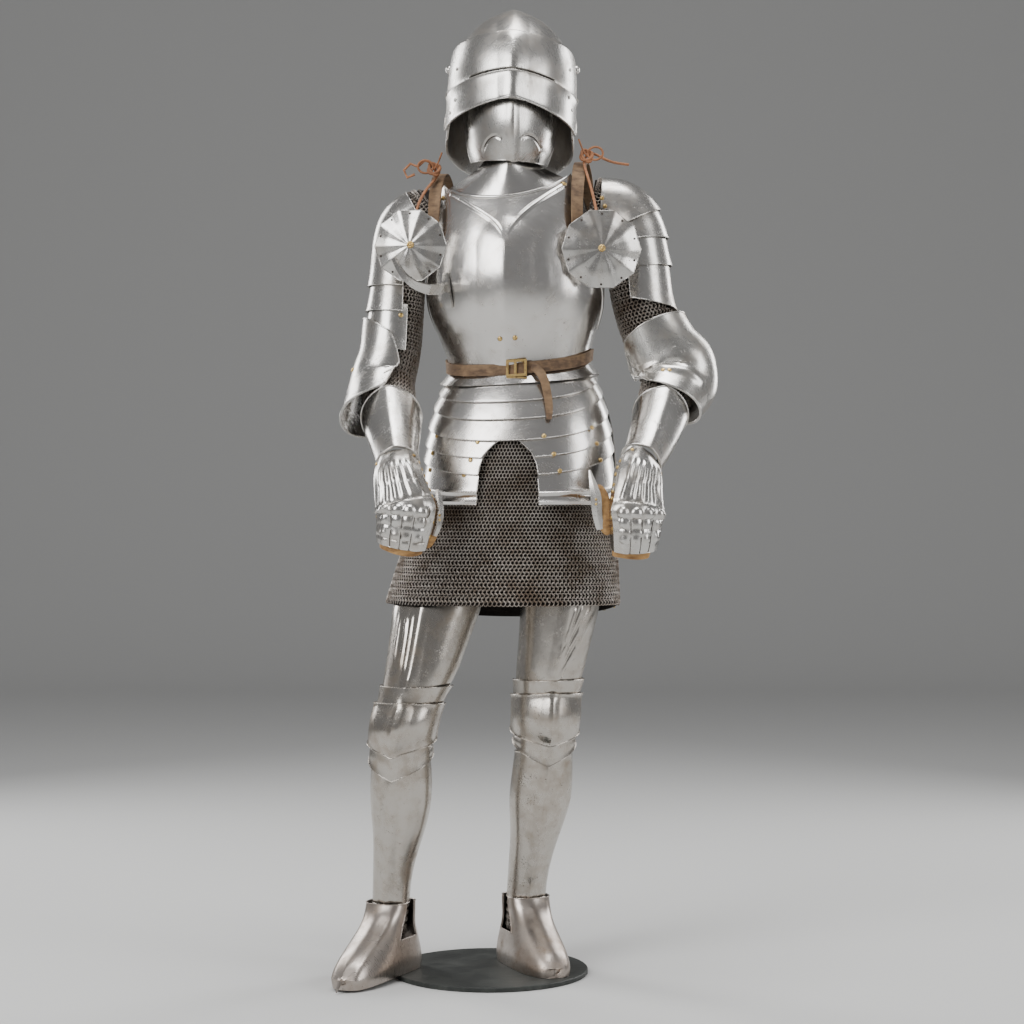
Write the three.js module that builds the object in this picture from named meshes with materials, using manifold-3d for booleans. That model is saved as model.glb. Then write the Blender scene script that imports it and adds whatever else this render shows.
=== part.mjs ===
// Suit of plate armour on its round display base. Millimetres, +Z up, the suit faces -Y, and the
// origin is the middle of the base's underside. "right" and "left" are the wearer's own.
import * as THREE from 'three';
import Module from 'manifold-3d';

// ---------------------------------------------------------------- driving sizes
const STEEL = 2.0;                 // hammered plate
const MAIL = 3.0;                  // cloth of linked rings
const HIDE = 3.0;                  // straps and glove leather
const BASE = { radius: 183, thick: 9, bevel: 1.5 };
const SEAM = 0.4;                  // air left between pieces that touch
const WAIST = { x: 56, y: 10, z: 1130, yaw: -9 };      // middle of the body at the belt
const LEAN = { slope: 0.06, from: 900, to: 1130 };     // hips and shoulders tip up on the left
const HEAD = { x: 43, y: -8, roll: -2.5, pivotZ: 1685, pivotX: 121 };
const FRONT = new THREE.Vector3(0, -1, 0);

const FINISH = {
  steel: [0xc2c0bb, 0.3, 1.0],
  patina: [0x9c958c, 0.42, 1.0],
  brass: [0xa88a4e, 0.4, 1.0],
  mail: [0x5b5651, 0.5, 0.9],
  leather: [0x6e5943, 0.8, 0.0],
  lace: [0xb27350, 0.8, 0.0],
  buff: [0xb5884f, 0.85, 0.0],
  iron: [0x2d312e, 0.6, 0.5],
};

// ---------------------------------------------------------------- small maths
const RAD = Math.PI / 180;
const vec = (x, y, z) => new THREE.Vector3(x, y, z);
const lerp = (a, b, t) => a + (b - a) * t;
const clamp = (x, a = 0, b = 1) => Math.min(b, Math.max(a, x));
const value = (q, ...at) => (typeof q === 'function' ? q(...at) : q);
const signedPower = (x, p) => Math.sign(x) * Math.abs(x) ** p;
const hump = (x, half) => Math.max(0, 1 - Math.abs(x) / half);

// One column of a table of stations, read smoothly at station s.
function column(rows, key, s) {
  const way = rows[rows.length - 1].s > rows[0].s ? 1 : -1;
  let i = 0;
  while (i < rows.length - 2 && way * (s - rows[i + 1].s) > 0) i++;
  const a = rows[i], b = rows[i + 1], h = b.s - a.s;
  const before = rows[Math.max(0, i - 1)], after = rows[Math.min(rows.length - 1, i + 2)];
  const m0 = (b[key] - before[key]) / (b.s - before.s);
  const m1 = (after[key] - a[key]) / (after.s - a.s);
  const t = (s - a.s) / h;
  if (t <= 0) return a[key] + m0 * (s - a.s);
  if (t >= 1) return b[key] + m1 * (s - b.s);
  const t2 = t * t, t3 = t2 * t;
  return (2 * t3 - 3 * t2 + 1) * a[key] + (t3 - 2 * t2 + t) * h * m0
    + (3 * t2 - 2 * t3) * b[key] + (t3 - t2) * h * m1;
}

// A limb or trunk from a table of sections: s station, x y z middle, w half width, f and b depth
// in front and behind, keel extra depth of the medial ridge. Angles run from the front (0) to the
// wearer's left (90). Level bodies have flat sections and s is the height.
function body(rows, { front = FRONT, level = false, square = 1, ridge = 30 } = {}) {
  const way = Math.sign(rows[rows.length - 1].s - rows[0].s);
  const get = (key, s) => (rows[0][key] === undefined ? 0 : column(rows, key, s));
  const middle = s => vec(get('x', s), get('y', s), level ? s : get('z', s));
  return (s, deg, out = 0) => {
    const e = 3 * way;
    const down = level ? vec(0, 0, -1) : middle(s + e).sub(middle(s - e)).normalize();
    const ahead = front.clone().addScaledVector(down, -front.dot(down)).normalize();
    const side = ahead.clone().cross(down);
    const c = Math.cos(deg * RAD), n = Math.sin(deg * RAD);
    const depth = get(c > 0 ? 'f' : 'b', s) + out;
    const keel = get('keel', s) * hump(deg, ridge) ** 1.4;
    return middle(s)
      .addScaledVector(side, (get('w', s) + out) * signedPower(n, square))
      .addScaledVector(ahead, depth * signedPower(c, square) + keel);
  };
}

// ---------------------------------------------------------------- solids
function solid(name, finish, points, faces) {
  let six = 0;
  for (const [a, b, c] of faces) six += points[a].dot(points[b].clone().cross(points[c]));
  const geometry = new THREE.BufferGeometry();
  geometry.setAttribute('position', new THREE.Float32BufferAttribute(points.flatMap(p => p.toArray()), 3));
  geometry.setIndex(faces.flatMap(([a, b, c]) => (six > 0 ? [a, b, c] : [a, c, b])));
  geometry.computeVertexNormals();
  const [color, roughness, metalness] = FINISH[finish];
  const mesh = new THREE.Mesh(geometry, new THREE.MeshStandardMaterial({ color, roughness, metalness }));
  mesh.name = name;
  return mesh;
}

// A wall of even thickness behind a grid of points. Rows run down, columns towards the left.
// ring joins the last column to the first, apex closes the first row, bare leaves cells out.
function wall(name, finish, grid, { thick = STEEL, ring = false, apex = null, under = null, bare } = {}) {
  const n = grid.length, m = grid[0].length, spans = ring ? m : m - 1;
  const points = [], faces = [];
  const near = (i, j) => grid[clamp(i, 0, n - 1)][ring ? (j + m) % m : clamp(j, 0, m - 1)];
  const inward = (i, j) => {
    const up = i === 0 && apex ? apex : near(i - 1, j);
    return near(i, j + 1).clone().sub(near(i, j - 1)).cross(near(i + 1, j).clone().sub(up)).normalize();
  };
  grid.forEach(row => row.forEach(p => points.push(p.clone())));
  grid.forEach((row, i) => row.forEach((p, j) =>
    points.push(p.clone().addScaledVector(inward(i, j), value(thick, i / (n - 1), j / m)))));
  const at = (i, j, deep) => deep * n * m + i * m + (ring ? (j + m) % m : j);
  const kept = (i, j) => i >= 0 && i < n - 1 && (ring || (j >= 0 && j < spans))
    && !(bare && bare(i, (j + m) % m));
  const rim = (p, q) => {
    const [a, b, c, d] = [at(...p, 0), at(...p, 1), at(...q, 1), at(...q, 0)];
    faces.push([a, b, c], [a, c, d]);
  };
  for (let i = 0; i < n - 1; i++) for (let j = 0; j < spans; j++) {
    if (!kept(i, j)) continue;
    const c = [[i, j], [i + 1, j], [i + 1, j + 1], [i, j + 1]];
    for (const deep of [0, 1]) {
      const [p, q, r, t] = c.map(k => at(...k, deep));
      const split = j >= spans / 2 ? [[p, q, t], [q, r, t]] : [[p, q, r], [p, r, t]];
      split.forEach(f => faces.push(deep ? f.reverse() : f));
    }
    if (!kept(i, j - 1)) rim(c[0], c[1]);
    if (!kept(i + 1, j)) rim(c[1], c[2]);
    if (!kept(i, j + 1)) rim(c[2], c[3]);
    if (!kept(i - 1, j) && !(i === 0 && apex)) rim(c[3], c[0]);
  }
  if (apex) {
    const top = points.push(apex.clone()) - 1;
    const below = points.push((under ?? apex.clone().setZ(apex.z - value(thick, 0, 0) * 1.15)).clone()) - 1;
    for (let j = 0; j < spans; j++) {
      faces.push([top, at(0, j, 0), at(0, j + 1, 0)], [below, at(0, j + 1, 1), at(0, j, 1)]);
    }
  }
  return solid(name, finish, points, faces);
}

// A plate cut from a body's surface: top and bottom stations and side angles may vary across it,
// and out lifts it off the surface by an amount or by a rule of (station, angle, down, across).
function plate(name, finish, surface, o) {
  const downs = o.downs ?? Array.from({ length: o.rows + 1 }, (_, i) => i / o.rows);
  const grid = downs.map(u => Array.from({ length: o.cols + (o.ring ? 0 : 1) }, (_, j) => {
    const deg = o.ring ? (j / o.cols) * 360 - 180 : lerp(value(o.from, u), value(o.to, u), j / o.cols);
    const s = lerp(value(o.top, deg), value(o.bottom, deg), u);
    return surface(s, deg, value(o.out ?? 0, s, deg, u, j / o.cols));
  }));
  return wall(name, finish, grid, { thick: o.thick ?? STEEL, ring: o.ring, apex: o.apex, bare: o.bare });
}

// A closed bar along a path: each station gives a middle, a width direction and half sizes.
function bar(name, finish, stations, sides = 4) {
  const points = [], faces = [];
  stations.forEach(({ at, across, half, deep }, i) => {
    const next = stations[Math.min(i + 1, stations.length - 1)].at;
    const last = stations[Math.max(i - 1, 0)].at;
    const run = next.clone().sub(last).normalize();
    const wide = across.clone().addScaledVector(run, -across.dot(run)).normalize();
    const thin = run.clone().cross(wide);
    for (let k = 0; k < sides; k++) {
      const a = (k + 0.5) / sides * 2 * Math.PI, grow = sides === 4 ? Math.SQRT2 : 1;
      points.push(at.clone().addScaledVector(wide, half * grow * Math.cos(a))
        .addScaledVector(thin, deep * grow * Math.sin(a)));
    }
  });
  const n = stations.length;
  for (let i = 0; i < n - 1; i++) for (let k = 0; k < sides; k++) {
    const a = i * sides + k, b = i * sides + (k + 1) % sides;
    faces.push([a, b, b + sides], [a, b + sides, a + sides]);
  }
  for (let k = 1; k < sides - 1; k++) {
    faces.push([0, k + 1, k], [(n - 1) * sides, (n - 1) * sides + k, (n - 1) * sides + k + 1]);
  }
  return solid(name, finish, points, faces);
}

// ---------------------------------------------------------------- trunk
// Body sizes by height, in the trunk's own frame: half width, depth in front, depth behind, ridge.
const TRUNK = [
  { s: 1500, x: 0, y: 8, w: 112, f: 84, b: 92, keel: 2 },
  { s: 1470, x: 0, y: 6, w: 136, f: 98, b: 100, keel: 3 },
  { s: 1430, x: 0, y: 3, w: 149, f: 118, b: 108, keel: 4 },
  { s: 1380, x: 0, y: 0, w: 158, f: 138, b: 112, keel: 6 },
  { s: 1320, x: 0, y: 0, w: 164, f: 150, b: 112, keel: 8 },
  { s: 1262, x: 0, y: 0, w: 164, f: 148, b: 106, keel: 8 },
  { s: 1210, x: 0, y: 0, w: 151, f: 130, b: 98, keel: 7 },
  { s: 1163, x: 0, y: 0, w: 135, f: 108, b: 90, keel: 5 },
  { s: 1140, x: 0, y: 0, w: 130, f: 101, b: 87, keel: 4 },
  { s: 1118, x: 0, y: 0, w: 134, f: 104, b: 89, keel: 3 },
];
const HIPS = [
  { s: 1124, x: 0, y: 0, w: 136, f: 106, b: 92, keel: 3 },
  { s: 1096, x: 0, y: 0, w: 149, f: 117, b: 103, keel: 3 },
  { s: 1060, x: 0, y: 0, w: 162, f: 128, b: 114, keel: 3 },
  { s: 1020, x: 0, y: 0, w: 172, f: 138, b: 122, keel: 2 },
  { s: 980, x: 0, y: 0, w: 178, f: 144, b: 127, keel: 2 },
  { s: 930, x: 0, y: 0, w: 182, f: 148, b: 131, keel: 1 },
  { s: 868, x: 0, y: 0, w: 186, f: 152, b: 135, keel: 1 },
];

// From the trunk's own frame to the standing pose: turned a little to the right, and leaning.
function stand(p) {
  const c = Math.cos(WAIST.yaw * RAD), n = Math.sin(WAIST.yaw * RAD);
  const x = p.x * c - p.y * n, y = p.x * n + p.y * c;
  const tip = LEAN.slope * clamp((p.z - LEAN.from) / (LEAN.to - LEAN.from));
  return vec(WAIST.x + x - 0.045 * Math.max(0, p.z - WAIST.z), WAIST.y + y, p.z + tip * x);
}
const posed = surface => (s, deg, out) => stand(surface(s, deg, out));
const trunk = posed(body(TRUNK, { level: true, square: 0.86, ridge: 34 }));
const hips = posed(body(HIPS, { level: true, square: 0.88, ridge: 34 }));

function base() {
  const { radius, thick, bevel } = BASE;
  const profile = [[0, 0], [radius - bevel, 0], [radius, bevel], [radius, thick - bevel],
    [radius - bevel, thick], [0, thick]].map(([x, y]) => new THREE.Vector2(x, y));
  const points = [], faces = [], turns = 48, rim = profile.slice(1, 5);
  rim.forEach(q => { for (let k = 0; k < turns; k++) {
    const a = k / turns * 2 * Math.PI;
    points.push(vec(q.x * Math.cos(a), q.x * Math.sin(a), q.y));
  } });
  const low = points.push(vec(0, 0, 0)) - 1, high = points.push(vec(0, 0, thick)) - 1;
  for (let k = 0; k < turns; k++) {
    const l = (k + 1) % turns;
    faces.push([low, l, k], [high, 3 * turns + k, 3 * turns + l]);
    for (let i = 0; i < 3; i++) {
      const a = i * turns;
      faces.push([a + k, a + l, a + turns + l], [a + k, a + turns + l, a + turns + k]);
    }
  }
  return solid('base_disc', 'iron', points, faces);
}

// The waist and the lame edges ride up towards the hips.
const rise = (deg, dip) => dip * (Math.min(Math.abs(deg), 360 - Math.abs(deg)) / 88) ** 2;
const beltLine = deg => 1122 + Math.min(24, rise(deg, 22));

function cuirass() {
  // The neck line dips in front; the arm holes are cut in deepest at chest height.
  const neck = deg => lerp(1436, 1478, clamp(Math.abs(deg) / 58) ** 1.6);
  const side = [0, 0.16, 0.34, 0.52, 0.68, 0.84, 1];
  const reach = [58, 53, 55, 76, 90, 90, 90];
  const edge = u => {
    const i = side.findIndex((q, k) => k === 5 || u <= side[k + 1]);
    return lerp(reach[i], reach[i + 1], clamp((u - side[i]) / (side[i + 1] - side[i])));
  };
  const flare = (s, deg) => 13 * clamp((beltLine(deg) - 13 - s) / 20) ** 1.2;
  const chest = plate('breastplate', 'steel', trunk, {
    top: neck, bottom: deg => 1095 + rise(deg, 16), from: u => -edge(u), to: u => edge(u), cols: 18,
    downs: [0, 0.03, 0.08, 0.22, 0.4, 0.6, 0.76, 0.9, 0.95, 1],
    out: (s, deg, u) => 2 + 3.5 * hump(u, 0.09) + flare(s, deg),
  });
  const open = u => lerp(57, 87.4, clamp(u * 1.6) ** 2.2);
  const back = plate('backplate', 'steel', trunk, {
    top: 1476, bottom: 1108, cols: 16, from: u => 180 - open(u), to: u => 180 + open(u),
    downs: [0, 0.04, 0.2, 0.4, 0.6, 0.76, 0.87, 0.93, 1],
    out: (s, deg, u) => 1.5 + 2.5 * hump(u, 0.1) + 12 * clamp((1132 - s) / 24) ** 1.2,
  });
  return [chest, back];
}

// Front skirt of lames, each tucked under the one above; the lower three are cut by the arch.
// low is the height of the lower edge at the front, dip how far its ends ride up at the hips.
const LAMES = [
  { name: 'fauld_lame_1', over: 1095, overDip: 16, low: 1063, dip: 38 },
  { name: 'fauld_lame_2', over: 1063, overDip: 38, low: 1030, dip: 44 },
  { name: 'fauld_lame_3', over: 1030, overDip: 44, low: 991, dip: 48 },
  { name: 'fauld_lame_4', over: 991, overDip: 48, low: 959, dip: 47, split: true },
  { name: 'fauld_lame_5', over: 959, overDip: 47, low: 927, dip: 46, split: true },
  { name: 'fauld_lame_6', over: 927, overDip: 46, low: 873, dip: 2, split: true, banded: true },
];
const ARCH = { half: 15.3, foot: 873, apex: 989 };
const TUCK = 6.3;
function fauld() {
  const arch = z => ARCH.half * Math.sqrt(1 - clamp((z - ARCH.foot) / (ARCH.apex - ARCH.foot)) ** 4.2);
  const parts = [];
  for (const l of LAMES) {
    const lap = deg => l.over + (l.over > 1080 ? 9 : 12) - 5 * (deg / 88) ** 2;
    const edge = {
      top: deg => lap(deg) + rise(deg, l.overDip), bottom: deg => l.low + rise(deg, l.dip),
      downs: l.banded ? [0, 0.3, 0.6, 0.68, 0.76, 0.84, 0.92, 1] : [0, 0.5, 0.94, 1],
    };
    const band = u => (l.banded ? 3.2 * hump(u - 0.68, 0.08) + 3.2 * hump(u - 0.92, 0.09) : 0);
    const lift = (s, deg, u) => lerp(-TUCK, 0, clamp(u / (l.banded ? 0.6 : 0.94))) + band(u);
    if (!l.split) {
      parts.push(plate(l.name, 'steel', hips, { ...edge, from: -88, to: 88, cols: 16, out: lift }));
      continue;
    }
    const inner = u => Math.max(0.5, arch(lerp(lap(0), l.low, u)));
    parts.push(plate(`${l.name}_right`, 'steel', hips,
      { ...edge, from: -88, to: u => -inner(u), cols: 8, out: lift }));
    parts.push(plate(`${l.name}_left`, 'steel', hips,
      { ...edge, from: inner, to: 88, cols: 8, out: lift }));
  }
  parts.push(plate('culet', 'steel', hips, {
    top: 1120, bottom: 932, from: 91.5, to: 268.5, cols: 16, downs: [0, 0.2, 0.45, 0.7, 0.95, 1],
    out: (s, deg, u) => lerp(-TUCK, 0, clamp(u * 2.2)),
  }));
  return parts;
}

// ---------------------------------------------------------------- belt, straps and trunk fittings
const wasm = await Module();
wasm.setup();
function unite(name, finish, ...parts) {
  const whole = parts.map(part => new wasm.Manifold(new wasm.Mesh({
    numProp: 3, vertProperties: Float32Array.from(part.geometry.attributes.position.array),
    triVerts: Uint32Array.from(part.geometry.index.array),
  }))).reduce((a, b) => a.add(b)).getMesh();
  const xyz = whole.vertProperties, points = [], faces = [];
  for (let i = 0; i < xyz.length; i += whole.numProp) points.push(vec(xyz[i], xyz[i + 1], xyz[i + 2]));
  for (let i = 0; i < whole.triVerts.length; i += 3) faces.push([...whole.triVerts.slice(i, i + 3)]);
  return solid(name, finish, points, faces);
}

const BUCKLE = { deg: 3, width: 38, height: 26, rim: 4.5 };
// The belt's free end, over the body's surface: height, angle, stand-off and half width.
const TAIL = [
  { s: 1125, deg: 7, out: 6.6, half: 8 }, { s: 1126, deg: 13, out: 7.6, half: 8 },
  { s: 1108, deg: 19, out: 15, half: 8 }, { s: 1080, deg: 21.5, out: 9, half: 7.5 },
  { s: 1050, deg: 22.5, out: 5.5, half: 7 }, { s: 1026, deg: 22, out: 4.5, half: 4.5 },
];
function belt() {
  const loop = plate('loop', 'leather', trunk, {
    top: deg => beltLine(deg) + 11, bottom: deg => beltLine(deg) - 10, ring: true, cols: 36, rows: 1,
    out: 6.8, thick: HIDE,
  });
  const tail = bar('tail', 'leather', TAIL.map((p, i) => ({
    at: (i < 2 ? trunk : hips)(p.s, p.deg, p.out), half: p.half, deep: 1.3,
    across: vec(i < 2 ? 0 : 0.8, 0, i < 2 ? 1 : 0.6),
  })));
  return [unite('belt', 'leather', loop, tail), buckle()];
}

// A square frame with a tongue, standing on a surface: middle, right and up in its own plane.
function buckle() {
  const at = trunk(beltLine(BUCKLE.deg) + 1, BUCKLE.deg, 9.8);
  const right = trunk(1122, BUCKLE.deg + 6, 8).sub(trunk(1122, BUCKLE.deg - 6, 8)).normalize();
  const up = vec(0, 0, 1), w = BUCKLE.width / 2, h = BUCKLE.height / 2, r = BUCKLE.rim / 2;
  const spot = (a, b) => at.clone().addScaledVector(right, a).addScaledVector(up, b);
  const rod = (a, b, across) => bar('rod', 'brass',
    [{ at: a, across, half: r, deep: 1.8 }, { at: b, across, half: r, deep: 1.8 }]);
  return unite('belt_buckle', 'brass',
    rod(spot(-w, h), spot(w, h), up), rod(spot(-w, -h), spot(w, -h), up),
    rod(spot(-w + r, -h - r), spot(-w + r, h + r), right), rod(spot(w - r, -h - r), spot(w - r, h + r), right),
    rod(spot(-2, -h), spot(-2, h), right));
}

// Straps over the shoulders, seen from the trunk's own frame.
const STRAP = [
  { y: -107, z: 1376, skew: 0.7 }, { y: -101, z: 1404, skew: 0.7 }, { y: -85, z: 1436, skew: 0.6 },
  { y: -54, z: 1476, skew: 0.3 }, { y: -14, z: 1500, skew: 0 }, { y: 26, z: 1503, skew: 0 },
  { y: 66, z: 1482, skew: -0.3 }, { y: 94, z: 1450, skew: -0.6 }, { y: 108, z: 1414, skew: -0.6 },
];
function straps() {
  return [['right', -1], ['left', 1]].map(([name, way]) => bar(`shoulder_strap_${name}`, 'leather',
    STRAP.map(p => ({
      at: stand(vec(way * 133, p.y, p.z)), across: vec(1, way * p.skew, 0), half: 12, deep: 1.5,
    }))));
}

// Laces that carry the discs: up from the back of each to a bow knotted over its strap.
const LACES = {
  shoulder_lace_right: [[-143, -89, 1352], [-136, -88, 1404], [-122, -64, 1446], [-105, -26, 1475],
    [-99, -11.5, 1486], [-106, -18, 1506], [-121, -24, 1514], [-134, -24, 1502], [-148, -22, 1508],
    [-160, -22, 1496], [-154, -22, 1482], [-140, -24, 1488]],
  shoulder_lace_left: [[202, -119, 1342], [196, -118, 1398], [186, -88, 1452], [178, -68, 1484],
    [175, -52, 1500], [176, -42, 1514], [186, -38, 1526], [200, -38, 1521], [216, -35, 1513],
    [236, -30, 1508], [258, -24, 1506]],
};
const laces = () => Object.entries(LACES).map(([name, path]) => bar(name, 'lace',
  path.map(p => ({ at: vec(...p), across: vec(0, 1, 0.2), half: 2.5, deep: 2.5 })), 6));

// Fluted discs that hang before the armpits.
const BESAGEWS = [
  { name: 'besagew_right', at: [-144, -103, 1346], radius: 67, turn: -10, tilt: 4 },
  { name: 'besagew_left', at: [203, -134, 1336], radius: 73, turn: 8, tilt: 4 },
];
const FLUTES = 10;
function besagews() {
  return BESAGEWS.map(b => {
    const aim = new THREE.Euler(b.tilt * RAD, 0, b.turn * RAD, 'ZXY');
    const grid = [0.3, 0.65, 1].map(r => Array.from({ length: FLUTES * 2 }, (_, j) => {
      const a = j / FLUTES * Math.PI, wave = Math.abs(Math.cos(a * FLUTES / 2));
      const edge = b.radius * r * (r > 0.8 ? lerp(0.95, 1, wave) : 1);
      const crown = 13 * (1 - r * r) + 3.4 * r * (wave - 0.5);
      return vec(edge * Math.cos(a), -crown, edge * Math.sin(a)).applyEuler(aim).add(vec(...b.at));
    }));
    const apex = vec(0, -13.5, 0).applyEuler(aim).add(vec(...b.at));
    const under = vec(0, -13.5 + STEEL, 0).applyEuler(aim).add(vec(...b.at));
    return wall(b.name, 'steel', grid, { ring: true, apex, under });
  });
}

// Bracket and curved arm that once carried the couched lance.
const REST = [
  { x: -172, y: -146, z: 1318, half: 4, deep: 3 }, { x: -158, y: -156, z: 1292, half: 5, deep: 3.5 },
  { x: -136, y: -163, z: 1270, half: 7, deep: 4 }, { x: -108, y: -160, z: 1260, half: 9, deep: 4 },
  { x: -90, y: -136, z: 1263, half: 9, deep: 4 }, { x: -82, y: -93, z: 1271, half: 8, deep: 4 },
];
const FOOT_AT = -37;               // degrees round the breast to the bracket's middle
const FOOT_OFF = 4.7;              // plate, half the bracket and the seam
function lanceRest() {
  const arm = bar('arm', 'patina', REST.map(p => (
    { at: vec(p.x, p.y, p.z), across: vec(0.25, -0.35, 0.9), half: p.half, deep: p.deep })));
  const foot = bar('foot', 'patina', [1304, 1290, 1270, 1252, 1240].map((z, i) => ({
    at: trunk(z, FOOT_AT, FOOT_OFF),
    across: trunk(z, FOOT_AT + 2).sub(trunk(z, FOOT_AT - 2)).normalize(),
    half: [5, 8, 9, 9, 6][i], deep: 2.4,
  })));
  return unite('lance_rest', 'patina', arm, foot);
}

// Mail shirt's skirt, below the fauld and filling its arch.
const SKIRT = [
  { s: 1090, x: 56, y: 10, w: 136, f: 104, b: 92 },
  { s: 1040, x: 56, y: 10, w: 154, f: 120, b: 105 },
  { s: 980, x: 54, y: 10, w: 168, f: 130, b: 116 },
  { s: 890, x: 51, y: 10, w: 171, f: 134, b: 122 },
  { s: 830, x: 43, y: 8, w: 188, f: 144, b: 131 },
  { s: 760, x: 33, y: 6, w: 202, f: 152, b: 137 },
  { s: 694, x: 24, y: 4, w: 212, f: 158, b: 142 },
  { s: 650, x: 22, y: 4, w: 214, f: 160, b: 142 },
];
const turned = FRONT.clone().applyAxisAngle(vec(0, 0, 1), WAIST.yaw * RAD);
function skirt() {
  const cloth = body(SKIRT, { level: true, square: 0.92, front: turned });
  const wave = a => 1.5 + Math.sin(a * 5 + 0.6) + 0.5 * Math.sin(a * 9 + 2);
  const fold = (deg, u) => 2.2 * u * u * wave(deg * RAD);
  return plate('mail_skirt', 'mail', cloth, {
    top: 1086, bottom: deg => 690 - 32 * clamp(-Math.cos(deg * RAD)) ** 1.2, ring: true, cols: 36,
    downs: [0, 0.24, 0.48, 0.68, 0.85, 1], thick: MAIL,
    out: (s, deg, u) => fold(deg, clamp((u - 0.45) / 0.55)),
  });
}

// ---------------------------------------------------------------- head
const SKULL = [
  { s: 1787, x: 0, y: 4, w: 26, f: 34, b: 36, keel: 2 },
  { s: 1776, x: 0, y: 4, w: 50, f: 60, b: 62, keel: 3 },
  { s: 1760, x: 0, y: 3, w: 70, f: 82, b: 86, keel: 3 },
  { s: 1742, x: 0, y: 2, w: 86, f: 99, b: 105, keel: 3 },
  { s: 1718, x: 0, y: 0, w: 101, f: 113, b: 121, keel: 3 },
  { s: 1690, x: 0, y: 0, w: 111, f: 120, b: 130, keel: 3 },
  { s: 1640, x: 0, y: 0, w: 114, f: 122, b: 133, keel: 2 },
  { s: 1580, x: 0, y: 0, w: 116, f: 122, b: 140, keel: 1 },
  { s: 1530, x: 0, y: 0, w: 118, f: 122, b: 154, keel: 0 },
  { s: 1480, x: 0, y: 0, w: 119, f: 122, b: 176, keel: 0 },
];
const VISOR = [
  { s: 1734, x: 0, y: 0, w: 99, f: 122, b: 100, keel: 4 },
  { s: 1712, x: 0, y: 0, w: 112, f: 132, b: 112, keel: 5 },
  { s: 1690, x: 0, y: 0, w: 118, f: 139, b: 118, keel: 6 },
  { s: 1660, x: 0, y: 0, w: 120, f: 145, b: 120, keel: 7 },
  { s: 1620, x: 0, y: 0, w: 121, f: 150, b: 121, keel: 8 },
  { s: 1555, x: 0, y: 0, w: 121, f: 152, b: 121, keel: 8 },
];
const CHIN = [
  { s: 1640, x: 0, y: 0, w: 92, f: 124, b: 96, keel: 5 },
  { s: 1600, x: 0, y: 0, w: 90, f: 131, b: 94, keel: 6 },
  { s: 1560, x: 0, y: 0, w: 85, f: 128, b: 90, keel: 7 },
  { s: 1525, x: 0, y: 0, w: 77, f: 116, b: 82, keel: 6 },
  { s: 1490, x: 0, y: 0, w: 62, f: 96, b: 66, keel: 4 },
];
function nod(p) {
  const a = HEAD.roll * RAD, z = p.z - HEAD.pivotZ;
  const x = p.x * Math.cos(a) - z * Math.sin(a), up = p.x * Math.sin(a) + z * Math.cos(a);
  return vec(HEAD.x + x, HEAD.y + p.y, HEAD.pivotZ + up);
}
const headed = (rows, options) => {
  const surface = body(rows, { level: true, ...options });
  return (s, deg, out) => nod(surface(s, deg, out));
};
function helmet() {
  const rim = deg => {
    const d = Math.abs(deg);
    if (d < 58) return 1674;
    return d < 84 ? lerp(1674, 1546, (d - 58) / 26) : lerp(1546, 1488, ((d - 84) / 96) ** 0.7);
  };
  const skull = plate('sallet_skull', 'steel', headed(SKULL, { ridge: 26 }), {
    top: 1787, bottom: rim, ring: true, cols: 26, downs: [0, 0.08, 0.19, 0.34, 0.52, 0.74, 0.95, 1],
    apex: nod(vec(0, 4, 1793)), out: (s, deg, u) => 1.5 * hump(u - 1, 0.05),
  });
  const brow = deg => 1731 - 22 * (Math.abs(deg) / 90) ** 2;
  const jaw = deg => {
    const d = Math.abs(deg);
    if (d < 45) return 1607 - 24 * (d / 45) ** 1.2;
    return d < 84 ? lerp(1583, 1560, (d - 45) / 39) : lerp(1560, 1596, (d - 84) / 12);
  };
  // The sight is the gap between rows 3 and 4; the plate below it stands out as a lip.
  const visor = plate('sallet_visor', 'steel', headed(VISOR, { ridge: 24 }), {
    top: brow, bottom: jaw, from: -96, to: 96, cols: 24,
    downs: [0, 0.05, 0.3, 0.55, 0.598, 0.66, 0.8, 0.95, 1],
    out: (s, deg, u) => (u > 0.59 && u < 0.63 ? 2.6 : 0) + 2.2 * hump(u - 1, 0.06),
    bare: (i, j) => i === 3 && j >= 7 && j <= 16,
  });
  const chin = plate('bevor', 'steel', headed(CHIN, { ridge: 34 }), {
    top: 1636, bottom: deg => 1500 + 8 * (Math.abs(deg) / 90) ** 2, from: -98, to: 98, cols: 16,
    downs: [0, 0.22, 0.5, 0.78, 0.96, 1], out: 0,
  });
  const throat = headed(CHIN, { ridge: 34 });
  const rows = [0, 0.14, 0.34, 0.6, 0.86, 1];
  const grid = rows.map(u => Array.from({ length: 15 }, (_, j) => {
    const deg = lerp(-62, 62, j / 14);
    const high = throat(1522, deg, -30), low = trunk(lerp(1430, 1466, (Math.abs(deg) / 62) ** 1.6), deg, -6);
    return high.clone().lerp(low, u ** 1.55).setZ(lerp(high.z, low.z, u ** 0.9));
  }));
  return [skull, visor, chin, wall('bevor_gorget', 'steel', grid)];
}

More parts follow.
